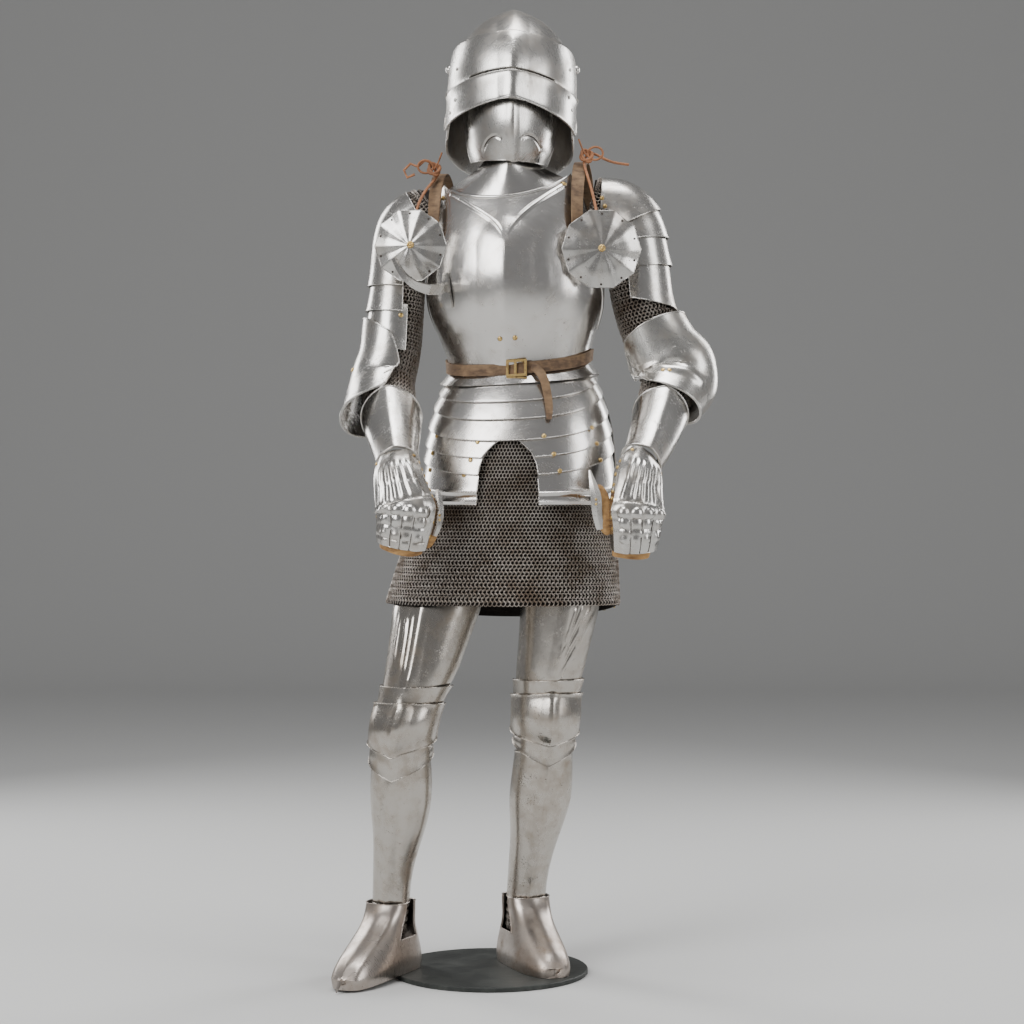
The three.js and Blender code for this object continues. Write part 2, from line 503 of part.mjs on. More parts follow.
// ---------------------------------------------------------------- arms
// Middle line from the shoulder to the wrist, with the sleeve's half width and depths.
const ARMS = {
  right: [
    { s: 0, x: -106, y: 12, z: 1420, w: 45, f: 47, b: 47 },
    { s: 26, x: -132, y: 12, z: 1417, w: 46, f: 49, b: 49 },
    { s: 54, x: -154, y: 12, z: 1400, w: 47, f: 51, b: 51 },
    { s: 84, x: -165, y: 12, z: 1372, w: 47, f: 52, b: 52 },
    { s: 137, x: -170, y: 10, z: 1320, w: 46, f: 53, b: 52 },
    { s: 217, x: -175, y: 8, z: 1240, w: 47, f: 52, b: 50 },
    { s: 292, x: -181, y: 4, z: 1165, w: 48, f: 50, b: 48 },
    { s: 354, x: -190, y: -8, z: 1105, w: 47, f: 47, b: 50 },
    { s: 409, x: -185, y: -42, z: 1062, w: 45, f: 44, b: 46 },
    { s: 480, x: -177, y: -92, z: 1012, w: 41, f: 40, b: 42 },
    { s: 551, x: -168, y: -145, z: 966, w: 35, f: 33, b: 34 },
    { s: 589, x: -163, y: -174, z: 942, w: 33, f: 29, b: 30 },
  ],
  left: [
    { s: 0, x: 192, y: 12, z: 1438, w: 45, f: 48, b: 48 },
    { s: 34, x: 226, y: 12, z: 1434, w: 47, f: 50, b: 50 },
    { s: 63, x: 252, y: 12, z: 1419, w: 50, f: 52, b: 52 },
    { s: 97, x: 268, y: 12, z: 1389, w: 52, f: 54, b: 54 },
    { s: 158, x: 276, y: 10, z: 1328, w: 54, f: 55, b: 54 },
    { s: 237, x: 285, y: 8, z: 1250, w: 52, f: 53, b: 52 },
    { s: 310, x: 305, y: 4, z: 1180, w: 49, f: 50, b: 48 },
    { s: 384, x: 332, y: -8, z: 1112, w: 48, f: 47, b: 50 },
    { s: 440, x: 323, y: -44, z: 1070, w: 45, f: 44, b: 46 },
    { s: 514, x: 306, y: -94, z: 1018, w: 41, f: 40, b: 42 },
    { s: 591, x: 284, y: -148, z: 968, w: 35, f: 33, b: 34 },
    { s: 634, x: 268, y: -180, z: 944, w: 33, f: 29, b: 30 },
  ],
};
// Plates of each arm: stations of the upper and lower edge, the angles they reach to on the inner
// side of the front (near) and behind (far), and how far they stand off the mail.
const ARM_PLATES = {
  right: [
    { name: 'spaulder_cap', top: 30, low: 178, near: 12, far: 190, rows: 6 },
    { name: 'spaulder_lame_1', top: 166, low: 226, near: 14, far: 186, rows: 3 },
    { name: 'rerebrace', top: 213, low: 300, near: 26, far: 176, rows: 4 },
  ],
  left: [
    { name: 'spaulder_cap', top: 14, low: 84, near: 16, far: 196, rows: 4 },
    { name: 'spaulder_lame_1', top: 72, low: 121, near: 18, far: 192, rows: 3 },
    { name: 'spaulder_lame_2', top: 109, low: 172, near: 20, far: 188, rows: 3 },
    { name: 'rerebrace', top: 160, low: 228, near: 22, far: 180, rows: 4, slant: 46 },
  ],
};
const COUTERS = {
  right: { elbow: 352, facing: -82, half: 98, up: 112, down: 92, end: 24, spread: 40, spreadAt: 452 },
  left: { elbow: 372, facing: 40, half: 122, up: 98, down: 92, end: 26, spread: 36, spreadAt: 382 },
};
const CUFFS = { right: { top: 424, low: 578, dip: 26 }, left: { top: 462, low: 621, dip: 20 } };

function arm(side) {
  const way = side === 'left' ? 1 : -1;
  const sleeve = body(ARMS[side]);
  
  const span = (near, far) => (way > 0 ? { from: -near, to: far } : { from: -far, to: near });
  const parts = [plate(`mail_sleeve_${side}`, 'mail', sleeve, {
    top: 0, bottom: CUFFS[side].top + 22, ring: true, cols: 12, rows: 13, thick: MAIL,
  })];
  ARM_PLATES[side].forEach(p => parts.push(plate(`${p.name}_${side}`, 'steel', sleeve, {
    ...span(p.near, p.far), cols: 12, rows: p.rows, top: p.top,
    bottom: deg => p.low + (p.slant ?? 0) * clamp((way * deg + 20) / 110),
    out: (s, deg, u) => 4.1 + lerp(0, 5.4, u) + 1.2 * hump(u - 1, 0.1),
  })));
  const k = COUTERS[side];
  const oval = deg => Math.sqrt(Math.max(0, 1 - ((deg - k.facing) / k.half) ** 2));
  const reach = deg => lerp(k.end / k.down, 1, oval(deg));
  const outer = deg => Math.max(0, Math.cos((deg - way * 82) * RAD)) ** 1.5;
  parts.push(plate(`couter_${side}`, 'steel', sleeve, {
    from: k.facing - k.half, to: k.facing + k.half, cols: 12, rows: 6,
    top: deg => k.elbow - k.up * reach(deg), bottom: deg => k.elbow + k.down * reach(deg),
    out: (s, deg) => 14 + k.spread * hump(s - k.spreadAt, 150) ** 1.3 * outer(deg),
  }));
  const c = CUFFS[side];
  parts.push(plate(`gauntlet_cuff_${side}`, 'steel', sleeve, {
    from: -142, to: 142, cols: 14, rows: 5, bottom: c.low,
    top: deg => c.top + c.dip * (Math.abs(deg) / 90) ** 1.3,
    out: (s, deg, u) => lerp(side === 'right' ? 13 : 8, 5, clamp(u * 1.2)) + 2.5 * hump(deg, 26),
  }));
  return parts;
}

// Hands hang half closed. The back of each hand is one fluted plate with its finger lames.
const HANDS = {
  right: { turn: -6, rows: [
    { s: -24, x: -165, y: -163, z: 952, w: 29, f: 24, b: 20 },
    { s: 0, x: -163, y: -180, z: 936, w: 37, f: 33, b: 24 },
    { s: 40, x: -156, y: -202, z: 902, w: 44, f: 32, b: 25 },
    { s: 82, x: -147, y: -216, z: 862, w: 49, f: 31, b: 26 },
    { s: 112, x: -150, y: -216, z: 832, w: 46, f: 29, b: 26 },
    { s: 146, x: -155, y: -206, z: 799, w: 41, f: 25, b: 24 },
  ] },
  left: { turn: 20, rows: [
    { s: -22, x: 272, y: -170, z: 951, w: 29, f: 24, b: 20 },
    { s: 0, x: 266, y: -186, z: 938, w: 37, f: 33, b: 24 },
    { s: 42, x: 262, y: -208, z: 902, w: 42, f: 32, b: 25 },
    { s: 88, x: 259, y: -221, z: 858, w: 46, f: 31, b: 26 },
    { s: 120, x: 258, y: -220, z: 826, w: 43, f: 29, b: 26 },
    { s: 155, x: 256, y: -209, z: 792, w: 38, f: 25, b: 24 },
  ] },
};
const THUMBS = {
  right: [[-92, -182, 900, 3], [-90, -190, 880, 8], [-88, -198, 858, 9], [-92, -200, 834, 8],
    [-98, -198, 818, 6]],
  left: [[178, -238, 934, 2], [183, -240, 912, 7], [189, -240, 886, 11], [191, -238, 858, 10],
    [197, -232, 830, 8]],
};
function hand(side) {
  const { turn, rows } = HANDS[side];
  const front = FRONT.clone().applyAxisAngle(vec(0, 0, 1), turn * RAD);
  const back = body(rows, { front, square: 0.85 });
  const end = rows[rows.length - 1].s, knuckle = rows[3].s;
  const dorsal = deg => (Math.abs(deg) < 72 ? 1 : 0);
  const flute = deg => 2.2 * Math.abs(Math.cos(clamp((deg + 70) / 140) * 4 * Math.PI)) * dorsal(deg);
  return [
    plate(`gauntlet_hand_${side}`, 'steel', back, {
      from: -106, to: 106, cols: 18, top: -17, bottom: end - 4,
      downs: [0, 0.16, 0.36, 0.54, 0.63, 0.72, 0.86, 1],
      out: (s, deg) => 3 + flute(deg) + 5 * hump(s - knuckle, 16) * dorsal(deg),
    }),
    bar(`gauntlet_thumb_${side}`, 'steel', THUMBS[side].map(([x, y, z, half]) => (
      { at: vec(x, y, z), across: vec(1, 0, 0), half, deep: half * 0.62 })), 6),
    plate(`glove_${side}`, 'buff', back, {
      top: -12, bottom: end + 9, ring: true, cols: 12, rows: 5, thick: 2,
      out: (s, deg) => -2.5 + 4 * clamp((s - end + 6) / 14) * Math.sin(deg * RAD * 3 + 1),
    }),
  ];
}

// ---------------------------------------------------------------- legs
const LEGS = {
  right: { turn: -14, rows: [
    { s: 750, x: -82, y: -6, w: 70, f: 78, b: 76, keel: 3 },
    { s: 697, x: -95, y: -12, w: 82, f: 82, b: 78, keel: 4 },
    { s: 620, x: -113, y: -30, w: 74, f: 75, b: 70, keel: 5 },
    { s: 552, x: -131, y: -47, w: 65, f: 66, b: 60, keel: 5 },
    { s: 512, x: -146, y: -56, w: 57, f: 60, b: 54, keel: 4 },
    { s: 466, x: -157, y: -60, w: 54, f: 58, b: 50, keel: 4 },
    { s: 424, x: -163, y: -53, w: 54, f: 54, b: 52, keel: 4 },
    { s: 333, x: -165, y: -38, w: 57, f: 50, b: 63, keel: 5 },
    { s: 257, x: -171, y: -26, w: 46.5, f: 44, b: 52, keel: 5 },
    { s: 192, x: -181, y: -15, w: 37, f: 38, b: 42, keel: 4 },
    { s: 128, x: -185, y: -9, w: 34.5, f: 35, b: 38, keel: 3 },
  ] },
  left: { turn: 9, rows: [
    { s: 750, x: 134, y: 6, w: 78, f: 80, b: 78, keel: 3 },
    { s: 697, x: 132, y: 4, w: 75, f: 78, b: 75, keel: 4 },
    { s: 620, x: 121, y: 3, w: 68, f: 71, b: 68, keel: 5 },
    { s: 545, x: 109, y: 4, w: 61.5, f: 64, b: 58, keel: 5 },
    { s: 512, x: 105, y: 5, w: 57, f: 60, b: 54, keel: 4 },
    { s: 470, x: 103, y: 7, w: 56, f: 58, b: 50, keel: 4 },
    { s: 424, x: 101, y: 14, w: 54, f: 54, b: 52, keel: 4 },
    { s: 322, x: 94, y: 28, w: 58, f: 50, b: 63, keel: 5 },
    { s: 255, x: 85, y: 38, w: 47, f: 44, b: 52, keel: 5 },
    { s: 189, x: 73, y: 50, w: 39, f: 39, b: 43, keel: 4 },
    { s: 124, x: 67, y: 58, w: 37, f: 35, b: 38, keel: 3 },
  ] },
};
// Heights of each knee's edges at the front.
const KNEES = {
  right: { cuisse: 522, lame: 540, cop: 512, copLow: 414, shin: 430, shinLow: 367, greave: 404 },
  left: { cuisse: 534, lame: 548, cop: 524, copLow: 426, shin: 441, shinLow: 388, greave: 412 },
};
function leg(side) {
  const { turn, rows } = LEGS[side];
  const front = FRONT.clone().applyAxisAngle(vec(0, 0, 1), turn * RAD);
  const limb = body(rows, { level: true, front, ridge: 24 });
  const k = KNEES[side];
  const point = (deg, drop) => drop * (Math.abs(deg) / 90);
  return [
    plate(`cuisse_${side}`, 'steel', limb, {
      from: -126, to: 126, cols: 18, rows: 5, top: 742, bottom: k.cuisse,
    }),
    plate(`poleyn_upper_lame_${side}`, 'steel', limb, {
      from: -104, to: 104, cols: 14, rows: 2, top: k.lame, bottom: k.cop - 9,
      out: (s, deg, u) => 4.2 + 1.2 * hump(u, 0.4),
    }),
    plate(`poleyn_${side}`, 'steel', limb, {
      from: -106, to: 106, cols: 14, downs: [0, 0.08, 0.3, 0.55, 0.78, 0.93, 1],
      top: deg => k.cop + point(deg, -4), bottom: deg => k.copLow + point(deg, 26),
      out: (s, deg, u) => 8.4 + 9 * Math.sin(Math.PI * clamp(u)) * Math.max(0, Math.cos(deg * RAD))
        + 4 * hump(deg, 26) * Math.sin(Math.PI * u) + 2 * hump(u, 0.1) + 2 * hump(u - 1, 0.1),
    }),
    plate(`poleyn_lower_lame_${side}`, 'steel', limb, {
      from: -102, to: 102, cols: 14, rows: 4, top: k.shin, bottom: deg => k.shinLow + point(deg, 42),
      out: (s, deg, u) => 4.2 + 1.6 * hump(u - 0.6, 0.2) + 1.6 * hump(u - 1, 0.2),
    }),
    plate(`greave_${side}`, 'steel', limb, {
      top: k.greave, bottom: deg => 133 + 6 * clamp(-Math.cos(deg * RAD)), ring: true, cols: 18,
      downs: [0, 0.16, 0.34, 0.52, 0.7, 0.87, 1],
    }),
    ...foot(side),
  ];
}

// Each foot's outline at several heights: reach forward, back and to the sides of the ankle.
const FEET = {
  right: { x: -185, y: -9, turn: -24, long: 1, tip: [-272, -203, 4.5], onDisc: false },
  left: { x: 67, y: 58, turn: 19, long: 0.86, tip: [117, -104, 13], onDisc: true },
};
const OUTLINE = [
  { s: 134, w: 42, f: 43, b: 45, keel: 2 }, { s: 118, w: 42, f: 53, b: 45, keel: 4 },
  { s: 98, w: 41, f: 78, b: 45, keel: 5 }, { s: 76, w: 44, f: 118, b: 51, keel: 5 },
  { s: 54, w: 48, f: 158, b: 56, keel: 4 }, { s: 34, w: 51, f: 184, b: 59, keel: 3 },
  { s: 18, w: 52, f: 194, b: 58, keel: 2 }, { s: 9.6, w: 50, f: 192, b: 56, keel: 1 },
];
function foot(side) {
  const o = FEET[side];
  const front = FRONT.clone().applyAxisAngle(vec(0, 0, 1), o.turn * RAD);
  const rows = OUTLINE.map(r => ({ ...r, x: o.x, y: o.y, f: 40 + (r.f - 40) * o.long }));
  const boot = body(rows, { level: true, front, square: 0.72, ridge: 20 });
  const sole = deg => (o.onDisc ? 9.6 : 9.6 - 5 * clamp((Math.cos(deg * RAD) - 0.35) / 0.5));
  const notch = side === 'left' ? [5, 6] : [17, 18];
  const shell = plate('shell', 'patina', boot, {
    top: 134, bottom: sole, ring: true, cols: 24, downs: [0, 0.16, 0.33, 0.5, 0.68, 0.86, 1],
    bare: (i, j) => i < 3 && notch.includes(j),
  });
  const toe = boot(20, 0, -6), tip = vec(...o.tip);
  const mid = toe.clone().lerp(tip, 0.45).setZ(lerp(toe.z, tip.z, 0.3) + 6);
  const spike = bar('spike', 'patina', [toe, mid, tip].map((at, i) => (
    { at, across: vec(1, 0, 0), half: [9, 5.5, 1][i], deep: [8, 4, 1][i] })), 6);
  const ankle = body(LEGS[side].rows, { level: true, front });
  return [
    unite(`sabaton_${side}`, 'patina', shell, spike),
    plate(`ankle_mail_${side}`, 'mail', ankle, {
      top: 156, bottom: 52, ring: true, cols: 12, rows: 2, thick: 2, out: -4.6,
    }),
  ];
}

const suit = new THREE.Group();
suit.name = 'suit_of_plate_armour';
suit.add(base(), ...cuirass(), ...fauld(), ...belt(), ...straps(), ...laces(), ...besagews(), lanceRest(),
  skirt(), ...helmet(), ...arm('right'), ...hand('right'), ...arm('left'), ...hand('left'),
  ...leg('right'), ...leg('left'));
export default suit;
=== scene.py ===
import math

import bmesh
import bpy
import numpy as np
from mathutils import Matrix, Vector
from mathutils.bvhtree import BVHTree
from mathutils.kdtree import KDTree


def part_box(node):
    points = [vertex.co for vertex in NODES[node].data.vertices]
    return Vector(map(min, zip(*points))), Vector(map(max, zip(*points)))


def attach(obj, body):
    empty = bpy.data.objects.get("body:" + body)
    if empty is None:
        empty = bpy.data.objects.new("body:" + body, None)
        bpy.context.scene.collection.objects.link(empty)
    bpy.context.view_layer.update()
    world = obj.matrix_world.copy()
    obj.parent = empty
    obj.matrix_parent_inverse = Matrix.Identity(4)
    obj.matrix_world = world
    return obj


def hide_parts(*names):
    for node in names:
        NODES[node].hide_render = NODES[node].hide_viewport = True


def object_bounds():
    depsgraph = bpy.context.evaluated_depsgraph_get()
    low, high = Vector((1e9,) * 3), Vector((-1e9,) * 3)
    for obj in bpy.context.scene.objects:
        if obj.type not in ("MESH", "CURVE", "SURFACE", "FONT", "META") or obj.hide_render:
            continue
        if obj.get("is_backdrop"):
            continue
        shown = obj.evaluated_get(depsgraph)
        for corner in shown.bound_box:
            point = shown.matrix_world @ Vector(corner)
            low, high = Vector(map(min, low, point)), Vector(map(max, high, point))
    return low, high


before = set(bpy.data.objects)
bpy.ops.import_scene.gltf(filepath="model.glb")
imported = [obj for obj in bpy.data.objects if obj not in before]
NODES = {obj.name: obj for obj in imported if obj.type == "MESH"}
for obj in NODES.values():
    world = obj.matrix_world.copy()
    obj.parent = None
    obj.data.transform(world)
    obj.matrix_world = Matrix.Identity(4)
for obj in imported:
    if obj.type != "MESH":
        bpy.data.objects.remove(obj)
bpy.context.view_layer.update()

# ---------------------------------------------------------------- camera
bpy.ops.object.camera_add(location=(0.041, -4.15, 0.86), rotation=(math.radians(90), 0, 0))
camera = bpy.context.object
camera.data.lens = 78
camera.data.sensor_width = 36
camera.data.clip_end = 60       # the whole room
bpy.context.scene.camera = camera


# ---------------------------------------------------------------- bench tools
def clear():
    """Leaves edit mode and lets go of everything."""
    if bpy.context.object and bpy.context.object.mode != "OBJECT":
        bpy.ops.object.mode_set(mode="OBJECT")
    bpy.ops.object.select_all(action="DESELECT")


def take(obj, *more):
    """Picks up one piece, or several with the first one active."""
    clear()
    for piece in (obj, *more):
        piece.select_set(True)
    bpy.context.view_layer.objects.active = obj
    return obj


def edit(obj, kind="FACE", everything=False):
    """Opens a piece for editing with nothing, or everything, selected."""
    take(obj)
    bpy.ops.object.mode_set(mode="EDIT")
    bpy.ops.mesh.select_mode(type=kind)
    bpy.ops.mesh.select_all(action="SELECT" if everything else "DESELECT")
    return bmesh.from_edit_mesh(obj.data)


def shut(obj):
    bpy.ops.object.mode_set(mode="OBJECT")
    return obj


def pick(obj, parts, test):
    """Selects the faces, edges or verts of an open piece that pass the test."""
    mesh = bmesh.from_edit_mesh(obj.data)
    for part in getattr(mesh, parts):
        if test(part):
            part.select_set(True)
    mesh.select_flush_mode()
    bmesh.update_edit_mesh(obj.data)


def settle(obj):
    """Puts a piece's place, turn and size into its mesh."""
    take(obj)
    bpy.ops.object.transform_apply(location=True, rotation=True, scale=True)
    return obj


def modify(obj, kind, **settings):
    """Adds a modifier, sets it and applies it."""
    take(obj)
    modifier = obj.modifiers.new(kind.lower(), kind)
    for key, value in settings.items():
        setattr(modifier, key, value)
    bpy.ops.object.modifier_apply(modifier=modifier.name)
    return obj


def smooth(obj, angle=32):
    take(obj)
    bpy.ops.object.shade_smooth_by_angle(angle=math.radians(angle))
    return obj


def copy_of(obj, name):
    """A copy with its own mesh."""
    take(obj)
    bpy.ops.object.duplicate()
    made = bpy.context.object
    made.name = name
    return made


def joined(name, pieces):
    """Several pieces as one mesh."""
    pieces = [p for p in pieces if p]
    take(*pieces)
    if len(pieces) > 1:
        bpy.ops.object.join()
    made = bpy.context.object
    made.name = name
    return made


def fitted(obj, body, slot, finish, *nodes):
    """Gives a finished piece its body, finish and the nodes that it stands for. The slot is not
    used.
    """
    obj.data.materials.clear()
    obj.data.materials.append(finish)
    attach(obj, body)
    if nodes:
        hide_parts(*nodes)
    return obj


def through_its_corners(obj, levels, rounds=3):
    """Moves the corners so that the rounded skin passes where the corners now are."""
    count = len(obj.data.vertices)
    true, moved, lies = (np.zeros(count * 3) for _ in range(3))
    obj.data.vertices.foreach_get("co", true)
    moved[:] = true
    modifier = obj.modifiers.new("rounding", "SUBSURF")
    modifier.levels = modifier.render_levels = levels
    for _ in range(rounds):
        depsgraph = bpy.context.evaluated_depsgraph_get()
        skin = obj.evaluated_get(depsgraph).data
        all_lies = np.zeros(len(skin.vertices) * 3)
        skin.vertices.foreach_get("co", all_lies)
        lies[:] = all_lies[: count * 3]
        moved += (true - lies) * 0.9
        obj.data.vertices.foreach_set("co", moved)
        obj.data.update()
    obj.modifiers.remove(modifier)


def rounded(name, node_name, levels=2, crease=38, close=0.00002):
    """A plate's own solid as a piece of its own, merged, in quads and finely rounded."""
    made = copy_of(NODES[node_name], name)
    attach(made, "visor" if node_name == "sallet_visor" else "suit")
    edit(made, "EDGE", True)
    bpy.ops.mesh.remove_doubles(threshold=close)
    bpy.ops.mesh.customdata_custom_splitnormals_clear()
    bpy.ops.mesh.tris_convert_to_quads(
        face_threshold=math.radians(50), shape_threshold=math.radians(50)
    )
    bpy.ops.mesh.select_all(action="DESELECT")
    bpy.ops.mesh.edges_select_sharp(sharpness=math.radians(crease))
    bpy.ops.transform.edge_crease(value=1)
    shut(made)
    if levels:
        through_its_corners(made, levels)
        modify(made, "SUBSURF", levels=levels, render_levels=levels)
    return made


# ---------------------------------------------------------------- surfaces of the solids
class Surface:
    """The skin of one or more pieces, to lay small parts on."""

    def __init__(self, *pieces):
        verts, faces = [], []
        for obj in pieces:
            start = len(verts)
            verts += [v.co.copy() for v in obj.data.vertices]
            faces += [[start + i for i in p.vertices] for p in obj.data.polygons]
        self.tree = BVHTree.FromPolygons(verts, faces)

    def hit(self, start, way, reach=2.0):
        place, normal, _, _ = self.tree.ray_cast(Vector(start), Vector(way).normalized(), reach)
        if place is None:
            return None, None
        if normal.dot(Vector(way)) > 0:
            normal = -normal
        return place, normal

    def front(self, x, z):
        """Where a line from the front meets the skin."""
        return self.hit((x, -1.0, z), (0, 1, 0))


def standing(normal, spin=0.0):
    """The turn that stands a small part's +Z on a surface normal."""
    turn = Vector(normal).to_track_quat("Z", "Y")
    return turn.to_matrix().to_4x4() @ Matrix.Rotation(spin, 4, "Z")


def set_down(obj, place, normal, spin=0.0, sink=0.0):
    """Stands a piece modelled at the origin on a surface, with its place in its mesh."""
    obj.matrix_world = Matrix.Translation(Vector(place) - Vector(normal) * sink) @ standing(
        normal, spin
    )
    return settle(obj)


# ---------------------------------------------------------------- finishes
class Value:
    """A socket of a finish. Sums written with it add their Math nodes."""

    def __init__(self, bench, socket):
        self.bench, self.socket = bench, socket

    def sum(self, way, *others):
        return self.bench.make("ShaderNodeMath", {"operation": way}, self, *others)

    def __add__(self, other):
        return self.sum("ADD", other)

    __radd__ = __add__

    def __sub__(self, other):
        return self.sum("SUBTRACT", other)

    def __rsub__(self, other):
        return self.bench.make("ShaderNodeMath", {"operation": "SUBTRACT"}, other, self)

    def __mul__(self, other):
        return self.sum("MULTIPLY", other)

    __rmul__ = __mul__

    def between(self, low, high):
        """0 below low, 1 above high, and even in between."""
        return self.bench.make(
            "ShaderNodeMapRange",
            {"clamp": True, "interpolation_type": "SMOOTHSTEP"},
            self,
            low,
            high,
            0.0,
            1.0,
        )


class Bench:
    """One finish and its nodes."""

    def __init__(self, name):
        self.material = bpy.data.materials.new(name)
        self.material.use_nodes = True
        self.tree = self.material.node_tree
        self.shader = self.tree.nodes["Principled BSDF"]

    def make(self, kind, settings, *inputs, out=0, **named):
        node = self.tree.nodes.new(kind)
        for key, value in settings.items():
            setattr(node, key, value)
        for key, value in [*enumerate(inputs), *named.items()]:
            socket = node.inputs[key if isinstance(key, int) else key.replace("_", " ")]
            if isinstance(value, Value):
                self.tree.links.new(value.socket, socket)
            elif value is not None:
                socket.default_value = value
        return Value(self, node.outputs[out])

    def place(self):
        """The point on the piece, in metres."""
        return self.make("ShaderNodeTexCoord", {}, out="Object")

    def part(self, vector, axis):
        return self.make("ShaderNodeSeparateXYZ", {}, vector, out="XYZ".index(axis))

    def stretched(self, vector, turn=(0, 0, 0), scale=(1, 1, 1), move=(0, 0, 0)):
        return self.make("ShaderNodeMapping", {}, vector, move, turn, scale)

    def noise(self, vector, scale, detail=3.0, rough=0.55):
        return self.make(
            "ShaderNodeTexNoise", {}, Vector=vector, Scale=scale, Detail=detail, Roughness=rough
        )

    def cells(self, vector, scale):
        return self.make("ShaderNodeTexVoronoi", {}, Vector=vector, Scale=scale)

    def mixed(self, share, first, second):
        """A colour between two."""
        node = self.tree.nodes.new("ShaderNodeMix")
        node.data_type = "RGBA"
        for key, value in ((0, share), (6, first), (7, second)):
            if isinstance(value, Value):
                self.tree.links.new(value.socket, node.inputs[key])
            else:
                node.inputs[key].default_value = value if key == 0 else (*value, 1)[:4]
        return Value(self, node.outputs[2])

    def relief(self, height, depth, strength=1.0, under=None):
        """A bump of that height, in metres, over another."""
        return self.make(
            "ShaderNodeBump", {}, Strength=strength, Distance=depth, Height=height, Normal=under
        )

    def finish(self, **sockets):
        for key, value in sockets.items():
            socket = self.shader.inputs[key.replace("_", " ")]
            if isinstance(value, Value):
                self.tree.links.new(value.socket, socket)
            else:
                socket.default_value = (*value, 1)[:4] if isinstance(value, tuple) else value
        return self.material


def hammered_steel(name, tone, brown, pits=0.0, gloss=0.34, pit_box=None, scratched=0.5):
    """Plate hammered by hand and polished: long soft waves, fine scratches, stains and pits."""
    b = Bench(name)
    at = b.place()
    cloud = b.noise(at, 7, 5, 0.6)
    stain = b.noise(at, 34, 6, 0.62)
    speck = b.noise(at, 210, 4, 0.6)
    fine = b.noise(b.stretched(at, (0.3, 0.2, 0.5), (60, 900, 60)), 1, 2, 0.5)
    cross = b.noise(b.stretched(at, (0.1, 0.9, -0.6), (1100, 70, 70)), 1, 2, 0.5)
    worn = (stain * 0.6 + cloud * 0.55).between(0.5, 0.82) * brown
    spots = speck.between(0.66, 0.74) * (0.25 + brown) * stain.between(0.4, 0.62)
    colour = b.mixed(worn, tone, tuple(c * k for c, k in zip(tone, (0.62, 0.53, 0.44))))
    colour = b.mixed(spots, colour, (0.11, 0.085, 0.065))
    rough = gloss + worn * 0.16 + spots * 0.3 + (fine - 0.5) * 0.1 + (cloud - 0.5) * 0.06
    waves = b.relief(b.noise(at, 26, 2, 0.4), 0.0012, 0.5)
    marks = b.relief((fine + cross) * scratched, 0.00005, 0.25, under=waves)
    if pits:
        near = b.cells(at, 300)
        patch = (b.noise(at, 42, 4, 0.65) + b.noise(at, 15, 2, 0.5) * 0.6).between(0.86, 0.98)
        if pit_box:
            axis, low, high, soft = pit_box
            along = b.part(at, axis)
            patch = patch * along.between(low - soft, low) * (1 - along.between(high, high + soft))
        hole = (1 - near.between(0.1, 0.42)) * patch * pits
        colour = b.mixed(hole, colour, (0.05, 0.04, 0.033))
        rough = rough + hole * 0.4
        marks = b.relief(1 - hole, 0.0006, 0.8, under=marks)
    return b.finish(
        Base_Color=colour, Metallic=1.0, Roughness=rough.between(0.0, 1.0), Normal=marks
    )


def ring_metal(name, tone, rust, rough=0.42):
    b = Bench(name)
    at = b.place()
    cloud = b.noise(at, 16, 4, 0.6)
    speck = b.noise(at, 330, 2, 0.5)
    share = (cloud * 0.7 + speck * 0.5).between(0.45, 0.8)
    return b.finish(
        Base_Color=b.mixed(share, tone, rust), Metallic=0.9, Roughness=rough + share * 0.25
    )


def brass_metal(name="aged_brass"):
    b = Bench(name)
    at = b.place()
    cloud = b.noise(at, 140, 4, 0.6)
    share = cloud.between(0.42, 0.7)
    return b.finish(
        Base_Color=b.mixed(share, (0.71, 0.5, 0.2), (0.28, 0.18, 0.08)),
        Metallic=1.0,
        Roughness=0.3 + share * 0.3,
        Normal=b.relief(cloud, 0.0003, 0.4),
    )


def hide(name, tone, dark, rough=0.72, grain=420, deep=0.0004):
    """Leather: a fine grain, creases and dark worn places. The same recipe also makes the
    near-black painted shade of the slits.
    """
    b = Bench(name)
    at = b.place()
    cloud = b.noise(at, 26, 5, 0.6)
    fine = b.cells(at, grain)
    crease = b.noise(b.stretched(at, (0.4, 0.3, 0), (1, 1, 3)), 60, 5, 0.65)
    share = (cloud * 0.7 + crease * 0.5).between(0.42, 0.8)
    return b.finish(
        Base_Color=b.mixed(share, tone, dark),
        Roughness=rough + share * 0.12,
        Normal=b.relief(crease, deep * 2, 0.5, under=b.relief(fine, deep, 0.5)),
    )


def cast_iron(name="base_iron"):
    """Painted iron: matt, scuffed, a little dust."""
    b = Bench(name)
    at = b.place()
    cloud = b.noise(at, 14, 6, 0.65)
    scuff = b.noise(b.stretched(at, (0, 0, 0.6), (40, 240, 40)), 1, 4, 0.6)
    share = (cloud * 0.6 + scuff * 0.5).between(0.45, 0.75)
    return b.finish(
        Base_Color=b.mixed(share, (0.022, 0.025, 0.023), (0.07, 0.075, 0.068)),
        Metallic=0.2,
        Roughness=0.5 + share * 0.3,
        Normal=b.relief(b.noise(at, 300, 3, 0.6), 0.0003, 0.4),
    )


